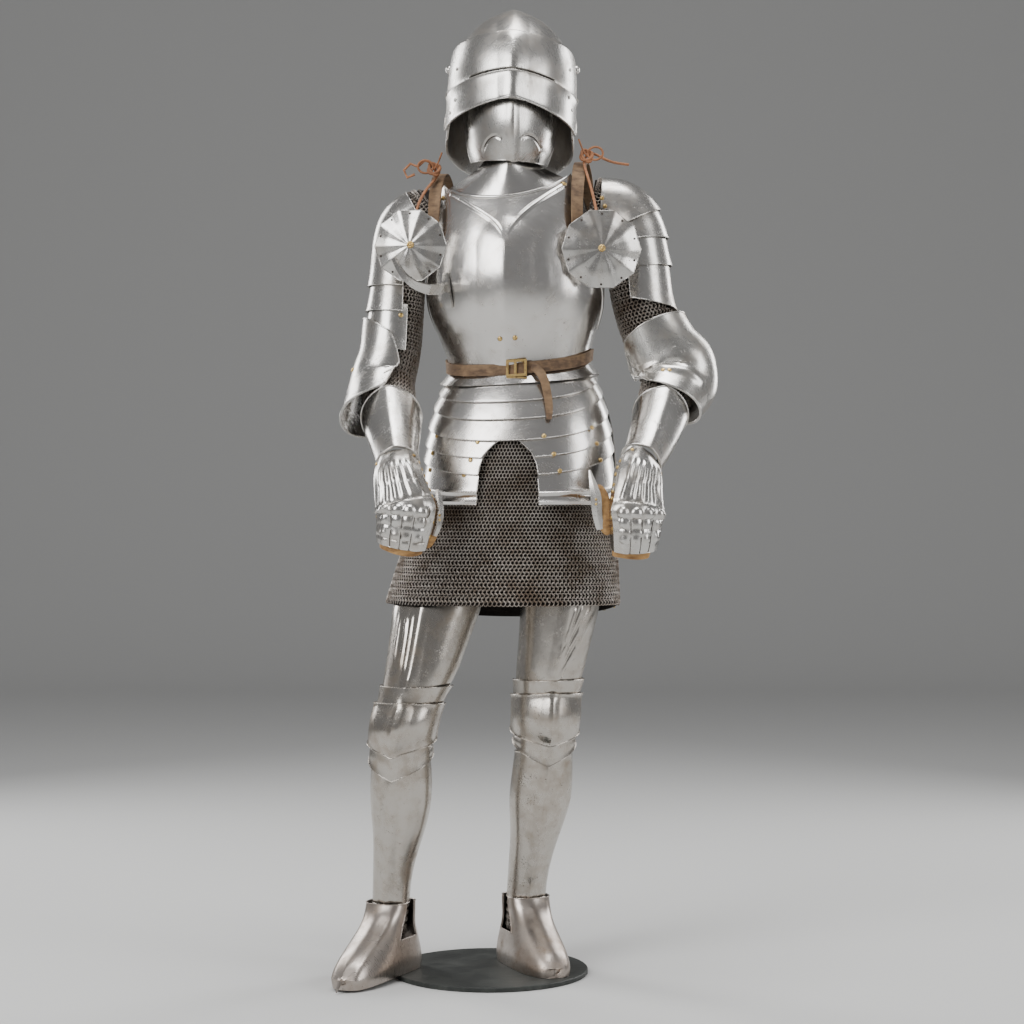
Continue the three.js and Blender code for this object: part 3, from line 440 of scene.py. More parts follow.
BRIGHT = hammered_steel("bright_steel", (0.68, 0.66, 0.635), 0.45, gloss=0.31)
HELM = hammered_steel("helmet_steel", (0.58, 0.565, 0.54), 0.6, 0.35, 0.34)
ARM = hammered_steel("arm_steel", (0.6, 0.585, 0.56), 0.6, 0.4, 0.32)
PITTED = hammered_steel("pitted_steel", (0.6, 0.585, 0.555), 0.7, 1.0, 0.34)
LEG = hammered_steel("leg_steel", (0.5, 0.47, 0.43), 0.8, 0.35, 0.3)
LEG_PITTED = hammered_steel("pitted_leg_steel", (0.5, 0.47, 0.43), 0.8, 1.0, 0.32)
FOOT = hammered_steel("foot_steel", (0.47, 0.42, 0.38), 0.9, 0.4, 0.36)
MAIL = ring_metal("mail_rings", (0.5, 0.46, 0.42), (0.2, 0.15, 0.11))
HEM = ring_metal("brass_rings", (0.5, 0.37, 0.13), (0.22, 0.15, 0.06), 0.4)
UNDER = ring_metal("mail_shadow", (0.035, 0.03, 0.027), (0.02, 0.016, 0.014), 0.7)
BRASS = brass_metal()
STRAP = hide("strap_leather", (0.235, 0.145, 0.075), (0.075, 0.045, 0.028))
LACE = hide("lace_leather", (0.4, 0.17, 0.075), (0.2, 0.085, 0.04))
BUFF = hide("glove_leather", (0.5, 0.29, 0.11), (0.2, 0.105, 0.045), 0.85)
IRON = cast_iron()
# Painted shade: a near-black matt colour laid in the breath slits, the holes of the hanging discs
# and the finger splits, standing in for the shade inside them.
SLIT_SHADE = hide("painted_slit_shade", (0.045, 0.03, 0.022), (0.02, 0.014, 0.01))


# ---------------------------------------------------------------- the plates
PLATES = {
    "breastplate": (BRIGHT, "plate"),
    "backplate": (BRIGHT, "plate"),
    "sallet_skull": (HELM, "plate"),
    "sallet_visor": (HELM, "plate"),
    "bevor": (HELM, "plate"),
    "bevor_gorget": (BRIGHT, "plate"),
    "culet": (BRIGHT, "plate"),
    "lance_rest": (ARM, "dark_plate"),
}
for side in ("right", "left"):
    for part in ("spaulder_cap", "spaulder_lame_1", "rerebrace", "gauntlet_cuff",
                 "gauntlet_hand", "gauntlet_thumb", "besagew"):
        PLATES[f"{part}_{side}"] = (ARM, "plate")
    for part in ("cuisse", "poleyn_upper_lame", "poleyn", "poleyn_lower_lame", "greave"):
        PLATES[f"{part}_{side}"] = (LEG, "plate")
    PLATES[f"sabaton_{side}"] = (FOOT, "dark_plate")
    PLATES[f"couter_{side}"] = (ARM, "plate")
    for row in (4, 5, 6):
        PLATES[f"fauld_lame_{row}_{side}"] = (BRIGHT, "plate")
for row in (1, 2, 3):
    PLATES[f"fauld_lame_{row}"] = (BRIGHT, "plate")
PLATES["spaulder_lame_2_left"] = (ARM, "plate")
PLATES["couter_left"] = (PITTED, "plate")
PLATES["greave_left"] = (LEG_PITTED, "plate")
PLATES["poleyn_left"] = (LEG_PITTED, "plate")

CREASED = {"besagew_right": 5, "besagew_left": 5}      # degrees above which an edge stays sharp
FINE = {"breastplate": 3, "bevor": 3, "gauntlet_hand_right": 3, "gauntlet_hand_left": 3}
MADE = {}
for name, (finish, slot) in PLATES.items():
    plate = rounded(f"{name}_dressed", name, FINE.get(name, 2), CREASED.get(name, 38))
    smooth(plate)
    MADE[name] = fitted(
        plate, "visor" if name == "sallet_visor" else "suit", slot, finish, name
    )


# ---------------------------------------------------------------- mail
PITCH = 0.0075


def mail_ring(name, wide=9, wire=3):
    """One ring of flat wire, lying in XY, one metre across its middle line."""
    bpy.ops.mesh.primitive_torus_add(
        major_segments=wide, minor_segments=wire, major_radius=0.5, minor_radius=0.1
    )
    ring = bpy.context.object
    ring.name = name
    edit(ring, "VERT", True)
    bpy.ops.transform.resize(value=(1, 1, 0.8))
    shut(ring)
    take(ring)
    bpy.ops.object.shade_smooth()
    return ring


def woven_rings(name, rows, finish, body="suit", wire=9):
    """Rings set on rows of (place, normal, along, width) and made one mesh."""
    points = bpy.data.meshes.new(name)
    points.from_pydata([r[0] for r in rows], [], [])
    turns, widths = [], []
    for _, normal, along, width in rows:
        across = normal.cross(along).normalized()
        along = across.cross(normal).normalized()
        turns += Matrix((along, across, normal)).transposed().to_quaternion()[:]
        widths.append(width)
    points.attributes.new("turn", "QUATERNION", "POINT").data.foreach_set("value", turns)
    points.attributes.new("width", "FLOAT", "POINT").data.foreach_set("value", widths)
    obj = bpy.data.objects.new(name, points)
    bpy.context.collection.objects.link(obj)
    ring = mail_ring(f"{name}_ring", wire)
    group = bpy.data.node_groups.new(f"{name}_weave", "GeometryNodeTree")
    group.interface.new_socket("Geometry", in_out="INPUT", socket_type="NodeSocketGeometry")
    group.interface.new_socket("Geometry", in_out="OUTPUT", socket_type="NodeSocketGeometry")
    start, end = group.nodes.new("NodeGroupInput"), group.nodes.new("NodeGroupOutput")
    link = group.links.new
    info = group.nodes.new("GeometryNodeObjectInfo")
    info.inputs["Object"].default_value = ring
    place = group.nodes.new("GeometryNodeInstanceOnPoints")
    turn = group.nodes.new("GeometryNodeInputNamedAttribute")
    turn.data_type = "QUATERNION"
    turn.inputs["Name"].default_value = "turn"
    width = group.nodes.new("GeometryNodeInputNamedAttribute")
    width.data_type = "FLOAT"
    width.inputs["Name"].default_value = "width"
    real = group.nodes.new("GeometryNodeRealizeInstances")
    to_points = group.nodes.new("GeometryNodeMeshToPoints")
    link(start.outputs[0], to_points.inputs["Mesh"])
    link(to_points.outputs[0], place.inputs["Points"])
    link(info.outputs["Geometry"], place.inputs["Instance"])
    link(turn.outputs[0], place.inputs["Rotation"])
    link(width.outputs[0], place.inputs["Scale"])
    link(place.outputs[0], real.inputs[0])
    link(real.outputs[0], end.inputs[0])
    modifier = obj.modifiers.new("weave", "NODES")
    modifier.node_group = group
    take(obj)
    bpy.ops.object.modifier_apply(modifier="weave")
    bpy.data.objects.remove(ring)
    return fitted(obj, body, "mail", finish)


def round_rows(skin, line, count, from_deg=0.0, to_deg=360.0, reach=0.3, lift=0.0016):
    """Rows of ring places round a limb or the hips: line holds (middle, front, side) of each row.
    Each ring leans the other way to the one in the row above."""
    rows = []
    whole = to_deg - from_deg >= 359
    for i, (middle, ahead, side) in enumerate(line):
        ring = []
        loop = []
        for k in range(145):
            a = math.radians(from_deg + (to_deg - from_deg) * k / 144)
            way = ahead * math.cos(a) + side * math.sin(a)
            place, normal = skin.hit(middle + way * reach, -way, reach)
            if place is not None:
                loop.append((place, normal if normal.dot(way) > 0 else -normal))
        if len(loop) < 8:
            continue
        gone = [0.0]
        for (p, _), (q, _) in zip(loop, loop[1:]):
            gone.append(gone[-1] + (q - p).length)
        step = gone[-1] / count
        j = 0
        for k in range(count):
            at = (k + (0.5 if i % 2 else 0.0)) * step
            while j < len(loop) - 2 and gone[j + 1] < at:
                j += 1
            share = (at - gone[j]) / max(1e-9, gone[j + 1] - gone[j])
            if share > 1 and not whole:
                continue
            place = loop[j][0].lerp(loop[j + 1][0], share)
            normal = loop[j][1].lerp(loop[j + 1][1], share).normalized()
            along = (loop[j + 1][0] - loop[j][0]).normalized()
            tip = math.radians(30 if i % 2 else -30)
            lean = Matrix.Rotation(tip, 3, normal.cross(along)) @ normal
            ring.append((place + normal * lift, lean, along, step * 1.3))
        rows.append(ring)
    return rows


def seen(places, cover, near=0.011):
    """The rings that no plate lies close over."""
    return [p for p in places if cover.tree.ray_cast(p[0] + p[1] * 0.0005, p[1], near)[0] is None]


def limb_line(stations, step):
    """Middles and directions every step along a line of points, from the first to the last."""
    line, left = [], 0.0
    for a, b in zip(stations, stations[1:]):
        a, b = Vector(a), Vector(b)
        span, way = (b - a).length, (b - a).normalized()
        ahead = (Vector((0, -1, 0)) - way * Vector((0, -1, 0)).dot(way)).normalized()
        side = ahead.cross(way)
        at = left
        while at < span:
            line.append((a + way * at, ahead, side))
            at += step
        left = at - span
    return line


def smoothed_line(line, reach=9):
    """The same line with its directions evened out, so that rows don't cross at a bend."""
    out = []
    for i, (middle, _, _) in enumerate(line):
        near = line[max(0, i - reach): i + reach + 1]
        ahead = sum((n[1] for n in near), Vector()).normalized()
        side = sum((n[2] for n in near), Vector()).normalized()
        out.append((middle, ahead, (side - ahead * side.dot(ahead)).normalized()))
    return out


PLATE_SKIN = Surface(*[NODES[n] for n in PLATES], NODES["belt"], NODES["glove_right"],
                     NODES["glove_left"])

# The skirt: rows run round the hips from the waist to the hem.
hips = rounded("mail_skirt_dressed", "mail_skirt", 2, 60)
smooth(hips, 60)
low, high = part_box("mail_skirt")
line = []
z = low[2] + 0.004
while z < high[2] - 0.002:
    t = (z - 0.65) / 0.44
    line.append((Vector((0.022 + 0.034 * t, 0.004 + 0.006 * t, z)), Vector((0, -1, 0)),
                 Vector((1, 0, 0))))
    z += PITCH * 0.88
line.reverse()
skirt_rows = round_rows(Surface(hips), line, 150)
HEM_ROWS = 4
fitted(hips, "suit", "mail", UNDER, "mail_skirt")
rings = [p for row in skirt_rows[:-HEM_ROWS] for p in seen(row, PLATE_SKIN)]
third = len(rings) // 3 + 1
skirt_rings = [
    woven_rings(f"skirt_rings_{i + 1}", rings[i * third:(i + 1) * third], MAIL) for i in range(3)
]
skirt_hem = woven_rings("skirt_hem", [p for row in skirt_rows[-HEM_ROWS:] for p in row], HEM)
skirt_rings.append(skirt_hem)

# The sleeves.
ARM_LINES = {
    "right": [(-0.106, 0.012, 1.42), (-0.154, 0.012, 1.4), (-0.17, 0.01, 1.32),
              (-0.175, 0.008, 1.24), (-0.181, 0.004, 1.165), (-0.19, -0.008, 1.105),
              (-0.185, -0.042, 1.062), (-0.177, -0.092, 1.012), (-0.168, -0.145, 0.966)],
    "left": [(0.192, 0.012, 1.438), (0.252, 0.012, 1.419), (0.276, 0.01, 1.328),
             (0.285, 0.008, 1.25), (0.305, 0.004, 1.18), (0.332, -0.008, 1.112),
             (0.323, -0.044, 1.07), (0.306, -0.094, 1.018), (0.284, -0.148, 0.968)],
}
for side, stations in ARM_LINES.items():
    node = f"mail_sleeve_{side}"
    sleeve = rounded(f"{node}_dressed", node, 1, 60)
    smooth(sleeve, 60)
    line = smoothed_line(limb_line(stations, PITCH * 0.88))
    rows = round_rows(Surface(sleeve), line, 44, reach=0.09)
    fitted(sleeve, "suit", "mail", UNDER, node)
    rings = [p for row in rows for p in seen(row, PLATE_SKIN)]
    woven_rings(f"sleeve_rings_{side}", rings, MAIL)


# ---------------------------------------------------------------- hammered forms
def laid(skin, line, gap=0.0025):
    """Points (place, normal) every gap along a line given by its x and z, laid on the skin."""
    points = []
    for a, b in zip(line, line[1:]):
        count = max(1, int(math.dist(a, b) / gap))
        for k in range(count + (b == line[-1])):
            x, z = (a[i] + (b[i] - a[i]) * k / count for i in (0, 1))
            place, normal = skin.front(x, z)
            if place is not None:
                points.append((place, normal))
    return points


def curved(line, steps=5):
    """A smooth line through a few points."""
    out = []
    for i in range(len(line) - 1):
        p = [Vector((*line[max(0, min(len(line) - 1, i + k))], 0)) for k in (-1, 0, 1, 2)]
        for k in range(steps):
            t = k / steps
            q = (p[1] * 2 + (p[2] - p[0]) * t + (p[0] * 2 - p[1] * 5 + p[2] * 4 - p[3]) * t * t
                 + (p[1] * 3 - p[0] - p[2] * 3 + p[3]) * t ** 3) / 2
            out.append((q.x, q.y))
    return out + [tuple(line[-1][:2])]


FACING = 0.2      # least cosine to the outer skin's normal, which leaves out the inner wall


def raised(obj, tracks, wide, high, cuts=1, crest=1.0, fade=0.0):
    """Hammers crests, or grooves where high is below 0, into a plate along tracks of
    (place, normal). fade is the share of each end over which the crest rises."""
    spots = [(p, n, i / max(1, len(track) - 1)) for track in tracks for i, (p, n) in
             enumerate(track)]
    if not spots:
        return obj
    tree = KDTree(len(spots))
    for i, (p, _, _) in enumerate(spots):
        tree.insert(p, i)
    tree.balance()
    if cuts:
        edit(obj)

        def beside(face):
            _, i, far = tree.find(face.calc_center_median())
            return far < wide * 1.5 and face.normal.dot(spots[i][1]) > FACING

        pick(obj, "faces", beside)
        bpy.ops.mesh.subdivide(number_cuts=cuts)
        shut(obj)
    group = obj.vertex_groups.new(name="crest")
    for vert in obj.data.vertices:
        _, i, far = tree.find(vert.co)
        if far < wide and vert.normal.dot(spots[i][1]) > FACING:
            rise = (1 - far / wide) ** crest
            if fade:
                share = spots[i][2]
                rise *= min(1.0, share / fade, (1 - share) / fade)
            group.add([vert.index], max(0.0, rise), "REPLACE")
    modify(obj, "DISPLACE", strength=high, mid_level=0, vertex_group="crest")
    obj.vertex_groups.clear()
    return obj


def rivet(name, size, tall=0.45, ring=10):
    """A domed rivet head standing on z = 0."""
    bpy.ops.mesh.primitive_uv_sphere_add(segments=ring, ring_count=8, radius=size)
    head = bpy.context.object
    head.name = name
    edit(head, "FACE", True)
    bpy.ops.mesh.bisect(plane_co=(0, 0, -size * 0.25), plane_no=(0, 0, 1), clear_inner=True,
                        use_fill=True)
    bpy.ops.mesh.select_all(action="SELECT")
    bpy.ops.transform.resize(value=(1, 1, tall))
    shut(head)
    smooth(head, 50)
    return head


def studded(name, spots, size, finish, slot, body="suit", tall=0.45):
    """One rivet head at each (place, normal), joined into one piece."""
    heads = []
    for place, normal in spots:
        if place is not None:
            heads.append(set_down(rivet(name, size, tall), place, normal))
    if not heads:
        return None
    return fitted(joined(name, heads), body, slot, finish)


def bead(name, points, radius, finish=None, slot="plate", body="suit", loop=False, flat=1.0,
         taper=False, sides=3):
    """A round bar or wire along points, made a mesh."""
    data = bpy.data.curves.new(name, "CURVE")
    data.dimensions = "3D"
    spline = data.splines.new("POLY")
    spline.points.add(len(points) - 1)
    for i, point in enumerate(points):
        spline.points[i].co = (*point, 1)
        if taper:
            t = i / max(1, len(points) - 1)
            spline.points[i].radius = max(0.12, min(1.0, 4 * t, 4 * (1 - t)))
    spline.use_cyclic_u = loop
    data.bevel_depth = radius
    data.bevel_resolution = sides
    data.use_fill_caps = True
    bar = bpy.data.objects.new(name, data)
    bpy.context.collection.objects.link(bar)
    take(bar)
    bpy.ops.object.convert(target="MESH")
    bar = bpy.context.object
    smooth(bar, 60)
    return fitted(bar, body, slot, finish) if finish else bar


def rolled(name, plate, test, radius, sharp=60):
    """A rolled border: the sharp edges of a plate that pass the test, thickened into a bar."""
    strip = copy_of(plate, name)
    edit(strip, "EDGE")
    bpy.ops.mesh.edges_select_sharp(sharpness=math.radians(sharp))
    mesh = bmesh.from_edit_mesh(strip.data)
    kept = {e for e in mesh.edges if e.select and test((e.verts[0].co + e.verts[1].co) / 2)}
    for face in list(mesh.faces):
        mesh.faces.remove(face)
    for e in list(mesh.edges):
        if e not in kept:
            mesh.edges.remove(e)
    for v in [v for v in mesh.verts if not v.link_edges]:
        mesh.verts.remove(v)
    bmesh.update_edit_mesh(strip.data)
    shut(strip)
    take(strip)
    bpy.ops.object.convert(target="CURVE")
    strip = bpy.context.object
    strip.data.bevel_depth = radius
    strip.data.bevel_resolution = 2
    strip.data.use_fill_caps = True
    bpy.ops.object.convert(target="MESH")
    strip = bpy.context.object
    return smooth(strip, 60)


# ---------------------------------------------------------------- breast and back
breast = MADE["breastplate"]
skin = Surface(breast)
ridge = laid(skin, [(0.0283, 1.345), (0.0284, 1.2963), (0.0283, 1.2255), (0.0282, 1.142)])
raised(breast, [ridge], 0.055, 0.0065, 0, 1.0)
raised(breast, [ridge], 0.006, 0.001, 1, 1.0)
lily = [
    [(-0.071, 1.444), (-0.0582, 1.4349), (-0.0357, 1.4191), (-0.0136, 1.4041), (0.0047, 1.3898),
     (0.0175, 1.374), (0.0262, 1.352), (0.0283, 1.325)],
    [(0.136, 1.458), (0.1214, 1.4482), (0.0974, 1.4316), (0.0737, 1.4138), (0.0537, 1.3945),
     (0.0392, 1.3756), (0.0304, 1.352), (0.0283, 1.325)],
]
raised(breast, [laid(skin, curved(line)) for line in lily], 0.005, 0.0016, 2, 0.8)
smooth(breast, 45)
neck = rolled("neck_roll", breast, lambda p: p.z > 1.418 and abs(p.x - 0.036) < 0.105
              and p.y < 0.0, 0.0034)
fitted(neck, "suit", "plate", BRIGHT)
for side, sign in (("right", -1), ("left", 1)):
    hole = rolled(f"armhole_roll_{side}", breast,
                  lambda p: 1.2 < p.z < 1.43 and (p.x - 0.045) * sign > 0.085, 0.0026)
    fitted(hole, "suit", "plate", BRIGHT)
skin = Surface(breast)
studded("breast_rivets", [skin.front(x, z) for x, z in (
    (-0.0868, 1.4415), (0.1363, 1.4611), (0.0191, 1.1752), (0.0465, 1.1767))],
    0.0048, BRASS, "brass")

# ---------------------------------------------------------------- fauld
LAMES = ["fauld_lame_1", "fauld_lame_2", "fauld_lame_3"] + [
    f"fauld_lame_{i}_{side}" for i in (4, 5, 6) for side in ("right", "left")]
for name in LAMES:
    strip = rolled(f"{name}_edge", MADE[name],
                   lambda p, low=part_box(name)[0][2]: p.z < low + 0.045 and p.y < 0.02, 0.0008)
    fitted(strip, "suit", "plate", BRIGHT)
skin = Surface(*[MADE[n] for n in LAMES])
studded("fauld_rivets", [skin.front(x, z) for x, z in (
    (-0.0217, 0.9873), (-0.0345, 0.9546), (-0.0464, 0.9274), (0.0989, 0.9975), (0.117, 0.9649),
    (0.1278, 0.9342), (-0.098, 1.001), (-0.106, 0.969), (-0.111, 0.938), (0.187, 1.014),
    (0.196, 0.985), (0.203, 0.955))], 0.0044, BRASS, "brass")

# ---------------------------------------------------------------- helmet
bevor = MADE["bevor"]
skin = Surface(bevor)
keel = laid(skin, [(0.0428, 1.6), (0.0428, 1.5336), (0.0428, 1.475)])
raised(bevor, [keel], 0.014, 0.004, 1, 1.2)
skin = Surface(bevor)
breaths = [
    [(-0.0125, 1.5205), (-0.0085, 1.5292), (-0.0027, 1.5368), (0.0047, 1.541), (0.012, 1.5419),
     (0.0193, 1.5377)],
    [(0.0591, 1.5381), (0.0664, 1.5423), (0.0737, 1.5432), (0.0811, 1.5409), (0.0885, 1.5337),
     (0.0941, 1.5249)],
]
raised(bevor, [laid(skin, curved(line), 0.001) for line in breaths], 0.0042, -0.0018, 3, 0.5)
smooth(bevor, 45)
# Painted shade: a thin near-black bar sunk along each breath groove stands in for the shade inside
# the open slit.
for i, line in enumerate(breaths):
    slit = laid(Surface(bevor), curved(line), 0.0015)
    bead(f"breath_{i + 1}", [p - n * 0.0006 for p, n in slit], 0.0013, SLIT_SHADE, "plate",
         taper=True)


# ---------------------------------------------------------------- hanging discs
for side, middle, radius, turn, tilt in (("right", (-0.144, -0.103, 1.346), 0.067, -10, 4),
                                         ("left", (0.203, -0.134, 1.336), 0.073, 8, 4)):
    disc = MADE[f"besagew_{side}"]
    middle = Vector(middle)
    skin = Surface(disc)
    hub, out = skin.hit(middle + Vector((0, -0.1, 0)), (0, 1, 0))
    flat = Matrix.Rotation(math.radians(turn), 3, "Z") @ Matrix.Rotation(math.radians(tilt), 3, "X")
    facing = flat @ Vector((0, -1, 0))
    petals = []
    for k in range(8):
        a = math.radians(45 * k + 12)
        rim = flat @ Vector((math.cos(a), 0, math.sin(a)))
        petals.append(hub + rim * 0.0042 + facing * 0.0012)
    studded(f"rosette_{side}", [(p, facing) for p in petals] + [(hub + facing * 0.0022, facing)],
            0.0028, BRASS, "brass", tall=0.7)
    # Painted shade: flat near-black dots near each disc's rim stand in for the shade inside its
    # holes.
    holes = []
    for k in range(10):
        a = math.radians(36 * k + 18)
        way = flat @ Vector((math.cos(a), 0, math.sin(a)))
        place, normal = skin.hit(middle + way * radius * 0.87 + facing * 0.1, -facing)
        if place is not None:
            holes.append((place + normal * 0.0001, normal))
    studded(f"disc_holes_{side}", holes, 0.0021, SLIT_SHADE, "plate", tall=0.1)
    edge = rolled(f"disc_edge_{side}", disc, lambda p: (p - middle).length > radius * 0.8, 0.0007)
    fitted(edge, "suit", "plate", ARM)


# ---------------------------------------------------------------- gauntlets
def round_skin(skin, middle, ahead, side, degrees, reach=0.09):
    """Where a limb's skin is met that many degrees round from its front."""
    a = math.radians(degrees)
    way = ahead * math.cos(a) + side * math.sin(a)
    return skin.hit(middle + way * reach, -way, reach)


HANDS = {
    "right": (-6, [(-24, -165, -163, 952), (0, -163, -180, 936), (40, -156, -202, 902),
                   (82, -147, -216, 862), (112, -150, -216, 832), (146, -155, -206, 799)]),
    "left": (20, [(-22, 272, -170, 951), (0, 266, -186, 938), (42, 262, -208, 902),
                  (88, 259, -221, 858), (120, 258, -220, 826), (155, 256, -209, 792)]),
}


def hand_frame(side, s):
    """Middle of a hand at station s, with the ways to its back and to the wearer's left."""
    turn, rows = HANDS[side]
    i = max(k for k in range(len(rows) - 1) if rows[k][0] <= s or k == 0)
    a, b = rows[i], rows[i + 1]
    t = (s - a[0]) / (b[0] - a[0])
    middle = Vector([a[k] + (b[k] - a[k]) * t for k in (1, 2, 3)]) / 1000
    down = (Vector(b[1:]) - Vector(a[1:])).normalized()
    front = Matrix.Rotation(math.radians(turn), 3, "Z") @ Vector((0, -1, 0))
    ahead = (front - down * front.dot(down)).normalized()
    return middle, ahead, ahead.cross(down)


def over_hand(side, skin, degrees, stations):
    """A line down the back of a hand: degrees may change along it."""
    line = []
    for i, s in enumerate(stations):
        share = i / (len(stations) - 1)
        at = degrees[0] + (degrees[1] - degrees[0]) * share
        place, normal = round_skin(skin, *hand_frame(side, s), at)
        if place is not None:
            line.append((place, normal))
    return line


def steps(first, last, gap=2.0):
    count = max(2, int(abs(last - first) / gap))
    return [first + (last - first) * i / (count - 1) for i in range(count)]


FINGER_SPLITS = (-33, 0, 33)                # degrees round the hand from the middle of its back
FINGERS = (-50, -17, 17, 50)
METACARPALS = (-57, -34, -11, 11, 34, 57)
for side in ("right", "left"):
    hand = MADE[f"gauntlet_hand_{side}"]
    end = HANDS[side][1][-1][0] - 4
    knuckle = HANDS[side][1][3][0]
    skin = Surface(hand)
    flutes = [over_hand(side, skin, (a * 0.62, a), steps(4, knuckle - 9)) for a in METACARPALS]
    raised(hand, flutes, 0.0052, 0.0026, 0, 0.8, fade=0.12)
    skin = Surface(hand)
    splits = [over_hand(side, skin, (a, a), steps(knuckle + 10, end)) for a in FINGER_SPLITS]
    lames = []
    for s in (knuckle + 9, knuckle + 28, knuckle + 46):
        across = [round_skin(skin, *hand_frame(side, s), a) for a in range(-70, 71, 3)]
        lames.append([p for p in across if p[0] is not None])
    lames.append([p for p in (round_skin(skin, *hand_frame(side, knuckle - 9), a)
                              for a in range(-70, 71, 3)) if p[0] is not None])
    raised(hand, splits + lames, 0.0032, -0.0022, 0, 0.8)
    skin = Surface(hand)
    blocks = [round_skin(skin, *hand_frame(side, knuckle), a) for a in FINGERS]
    raised(hand, [[b] for b in blocks], 0.011, 0.0055, 0, 0.55)
    joints = [round_skin(skin, *hand_frame(side, s), a) for s in (knuckle + 19, knuckle + 38)
              for a in FINGERS]
    raised(hand, [[b] for b in joints], 0.0085, 0.0028, 0, 0.6)
    smooth(hand, 50)
    skin = Surface(hand)
    inner = -1 if side == "left" else 1
    # Painted shade: a thin near-black wire along each finger split stands in for the shade in the
    # gap between the finger plates.
    for i, degrees in enumerate(FINGER_SPLITS):
        line = over_hand(side, skin, (degrees, degrees), steps(knuckle + 10, end))
        bead(f"split_{side}_{i + 1}", [p + n * 0.0002 for p, n in line], 0.0006, SLIT_SHADE,
             "plate", sides=1)
    studded(f"hand_rivets_{side}", [round_skin(skin, *hand_frame(side, s), inner * a) for s, a in
            ((-6, 62), (6, 74), (18, 80), (31, 84), (44, 86), (57, 87), (70, 86), (97, 80),
             (116, 78), (-6, -60), (10, -80), (44, -88), (97, -82))], 0.0034, BRASS, "brass")


# ---------------------------------------------------------------- thumbs
THUMBS = {
    "right": [(-0.092, -0.182, 0.9), (-0.09, -0.19, 0.88), (-0.088, -0.198, 0.858),
              (-0.092, -0.2, 0.834), (-0.098, -0.198, 0.818)],
    "left": [(0.178, -0.238, 0.934), (0.183, -0.24, 0.912), (0.189, -0.24, 0.886),
             (0.191, -0.238, 0.858), (0.197, -0.232, 0.83)],
}
for side, line in THUMBS.items():
    plate = MADE[f"gauntlet_thumb_{side}"]
    skin = Surface(plate)
    spots = [skin.front(line[2][0], line[2][2] + dz) for dz in (-0.004, -0.012)]
    studded(f"thumb_rivets_{side}", [p for p in spots if p[0] is not None], 0.0026, BRASS, "brass")
    # the glove's own thumb, seen behind the plate and joining it to the hand
    inner = 1 if side == "left" else -1
    bpy.ops.mesh.primitive_uv_sphere_add(segments=20, ring_count=14, radius=1)
    thumb = bpy.context.object
    thumb.name = f"glove_thumb_{side}"
    edit(thumb, "VERT", True)
    bpy.ops.transform.resize(value=(0.0165, 0.013, 0.046))
    shut(thumb)
    thumb.rotation_euler = (math.radians(-6), math.radians(-10 * inner), 0)
    thumb.location = Vector(line[3]) + Vector((0.011 * inner, 0.013, 0.006))
    settle(thumb)
    smooth(thumb, 60)
    fitted(thumb, "suit", "glove_leather", BUFF)

# ---------------------------------------------------------------- gloves
for side in ("right", "left"):
    glove = rounded(f"glove_{side}_dressed", f"glove_{side}", 2, 60)
    smooth(glove, 60)
    fitted(glove, "suit", "glove_leather", BUFF, f"glove_{side}")

# ---------------------------------------------------------------- helmet fittings
skull, visor = MADE["sallet_skull"], MADE["sallet_visor"]
skin = Surface(visor)
keel = laid(skin, [(0.0428, 1.714), (0.0428, 1.69), (0.0428, 1.66)])
low_keel = laid(skin, [(0.0428, 1.642), (0.0428, 1.6286), (0.0428, 1.616)])
raised(visor, [keel, low_keel], 0.03, 0.004, 1, 1.0)
smooth(visor, 40)
skin = Surface(visor)
bosses = []
for sign, x in ((-1, -0.5), (1, 0.6)):
    bosses.append(skin.hit((0.043 + sign * 0.4, -0.008, 1.685), (-sign, 0, 0), 0.4))
studded("visor_bosses", bosses, 0.0085, HELM, "plate", "visor", 0.8)
lining = [skin.front(x, z) for x, z in (
    (-0.0634, 1.6145), (-0.0731, 1.5945), (0.1515, 1.6001), (0.146, 1.62), (-0.06, 1.672),
    (0.148, 1.672))]
studded("visor_rivets", [p for p in lining if p[0] is not None], 0.0034, HELM, "plate", "visor")
rim = rolled("visor_edge", visor, lambda p: p.y < 0.06, 0.0009)
fitted(rim, "visor", "plate", HELM)
rim = rolled("skull_edge", skull, lambda p: p.z < 1.62, 0.0011)
fitted(rim, "suit", "plate", HELM)
rim = rolled("bevor_edge", bevor, lambda p: p.z > 1.5 and p.y < 0.04, 0.0011)
fitted(rim, "suit", "plate", HELM)
skin = Surface(skull)
crest = [skin.hit((0.0435, math.cos(a) * 0.4, 1.6 + math.sin(a) * 0.4),
                  (0, -math.cos(a), -math.sin(a)), 0.5)
         for a in [math.radians(d) for d in range(20, 150, 2)]]
raised(skull, [[p for p in crest if p[0] is not None]], 0.03, 0.0035, 1, 1.0)
smooth(skull, 40)

# ---------------------------------------------------------------- arms
skin = Surface(MADE["couter_left"], MADE["spaulder_cap_left"])
studded("arm_rivets_left", [skin.front(x, z) for x, z in (
    (0.3182, 1.1207), (0.3301, 1.1207), (0.2077, 1.4415), (0.2132, 1.4266))], 0.0042, BRASS,
    "brass")
skin = Surface(MADE["couter_right"], MADE["rerebrace_right"])
studded("arm_rivets_right", [skin.front(x, z) for x, z in (
    (-0.2549, 1.1243), (-0.1642, 1.2242))], 0.0046, BRASS, "brass")
for side in ("right", "left"):
    for part in ("couter", "gauntlet_cuff", "rerebrace", "spaulder_cap", "spaulder_lame_1"):
        edge = rolled(f"{part}_edge_{side}", MADE[f"{part}_{side}"], lambda p: True,
                      0.0016 if part in ("couter", "gauntlet_cuff") else 0.0007)
        fitted(edge, "suit", "plate", ARM)
skin = Surface(MADE["couter_left"])
raised(MADE["couter_left"], [laid(skin, curved([(0.27, 1.118), (0.31, 1.127), (0.36, 1.12),
                                                (0.39, 1.1)]))], 0.012, 0.0035, 1, 1.0)
smooth(MADE["couter_left"], 45)

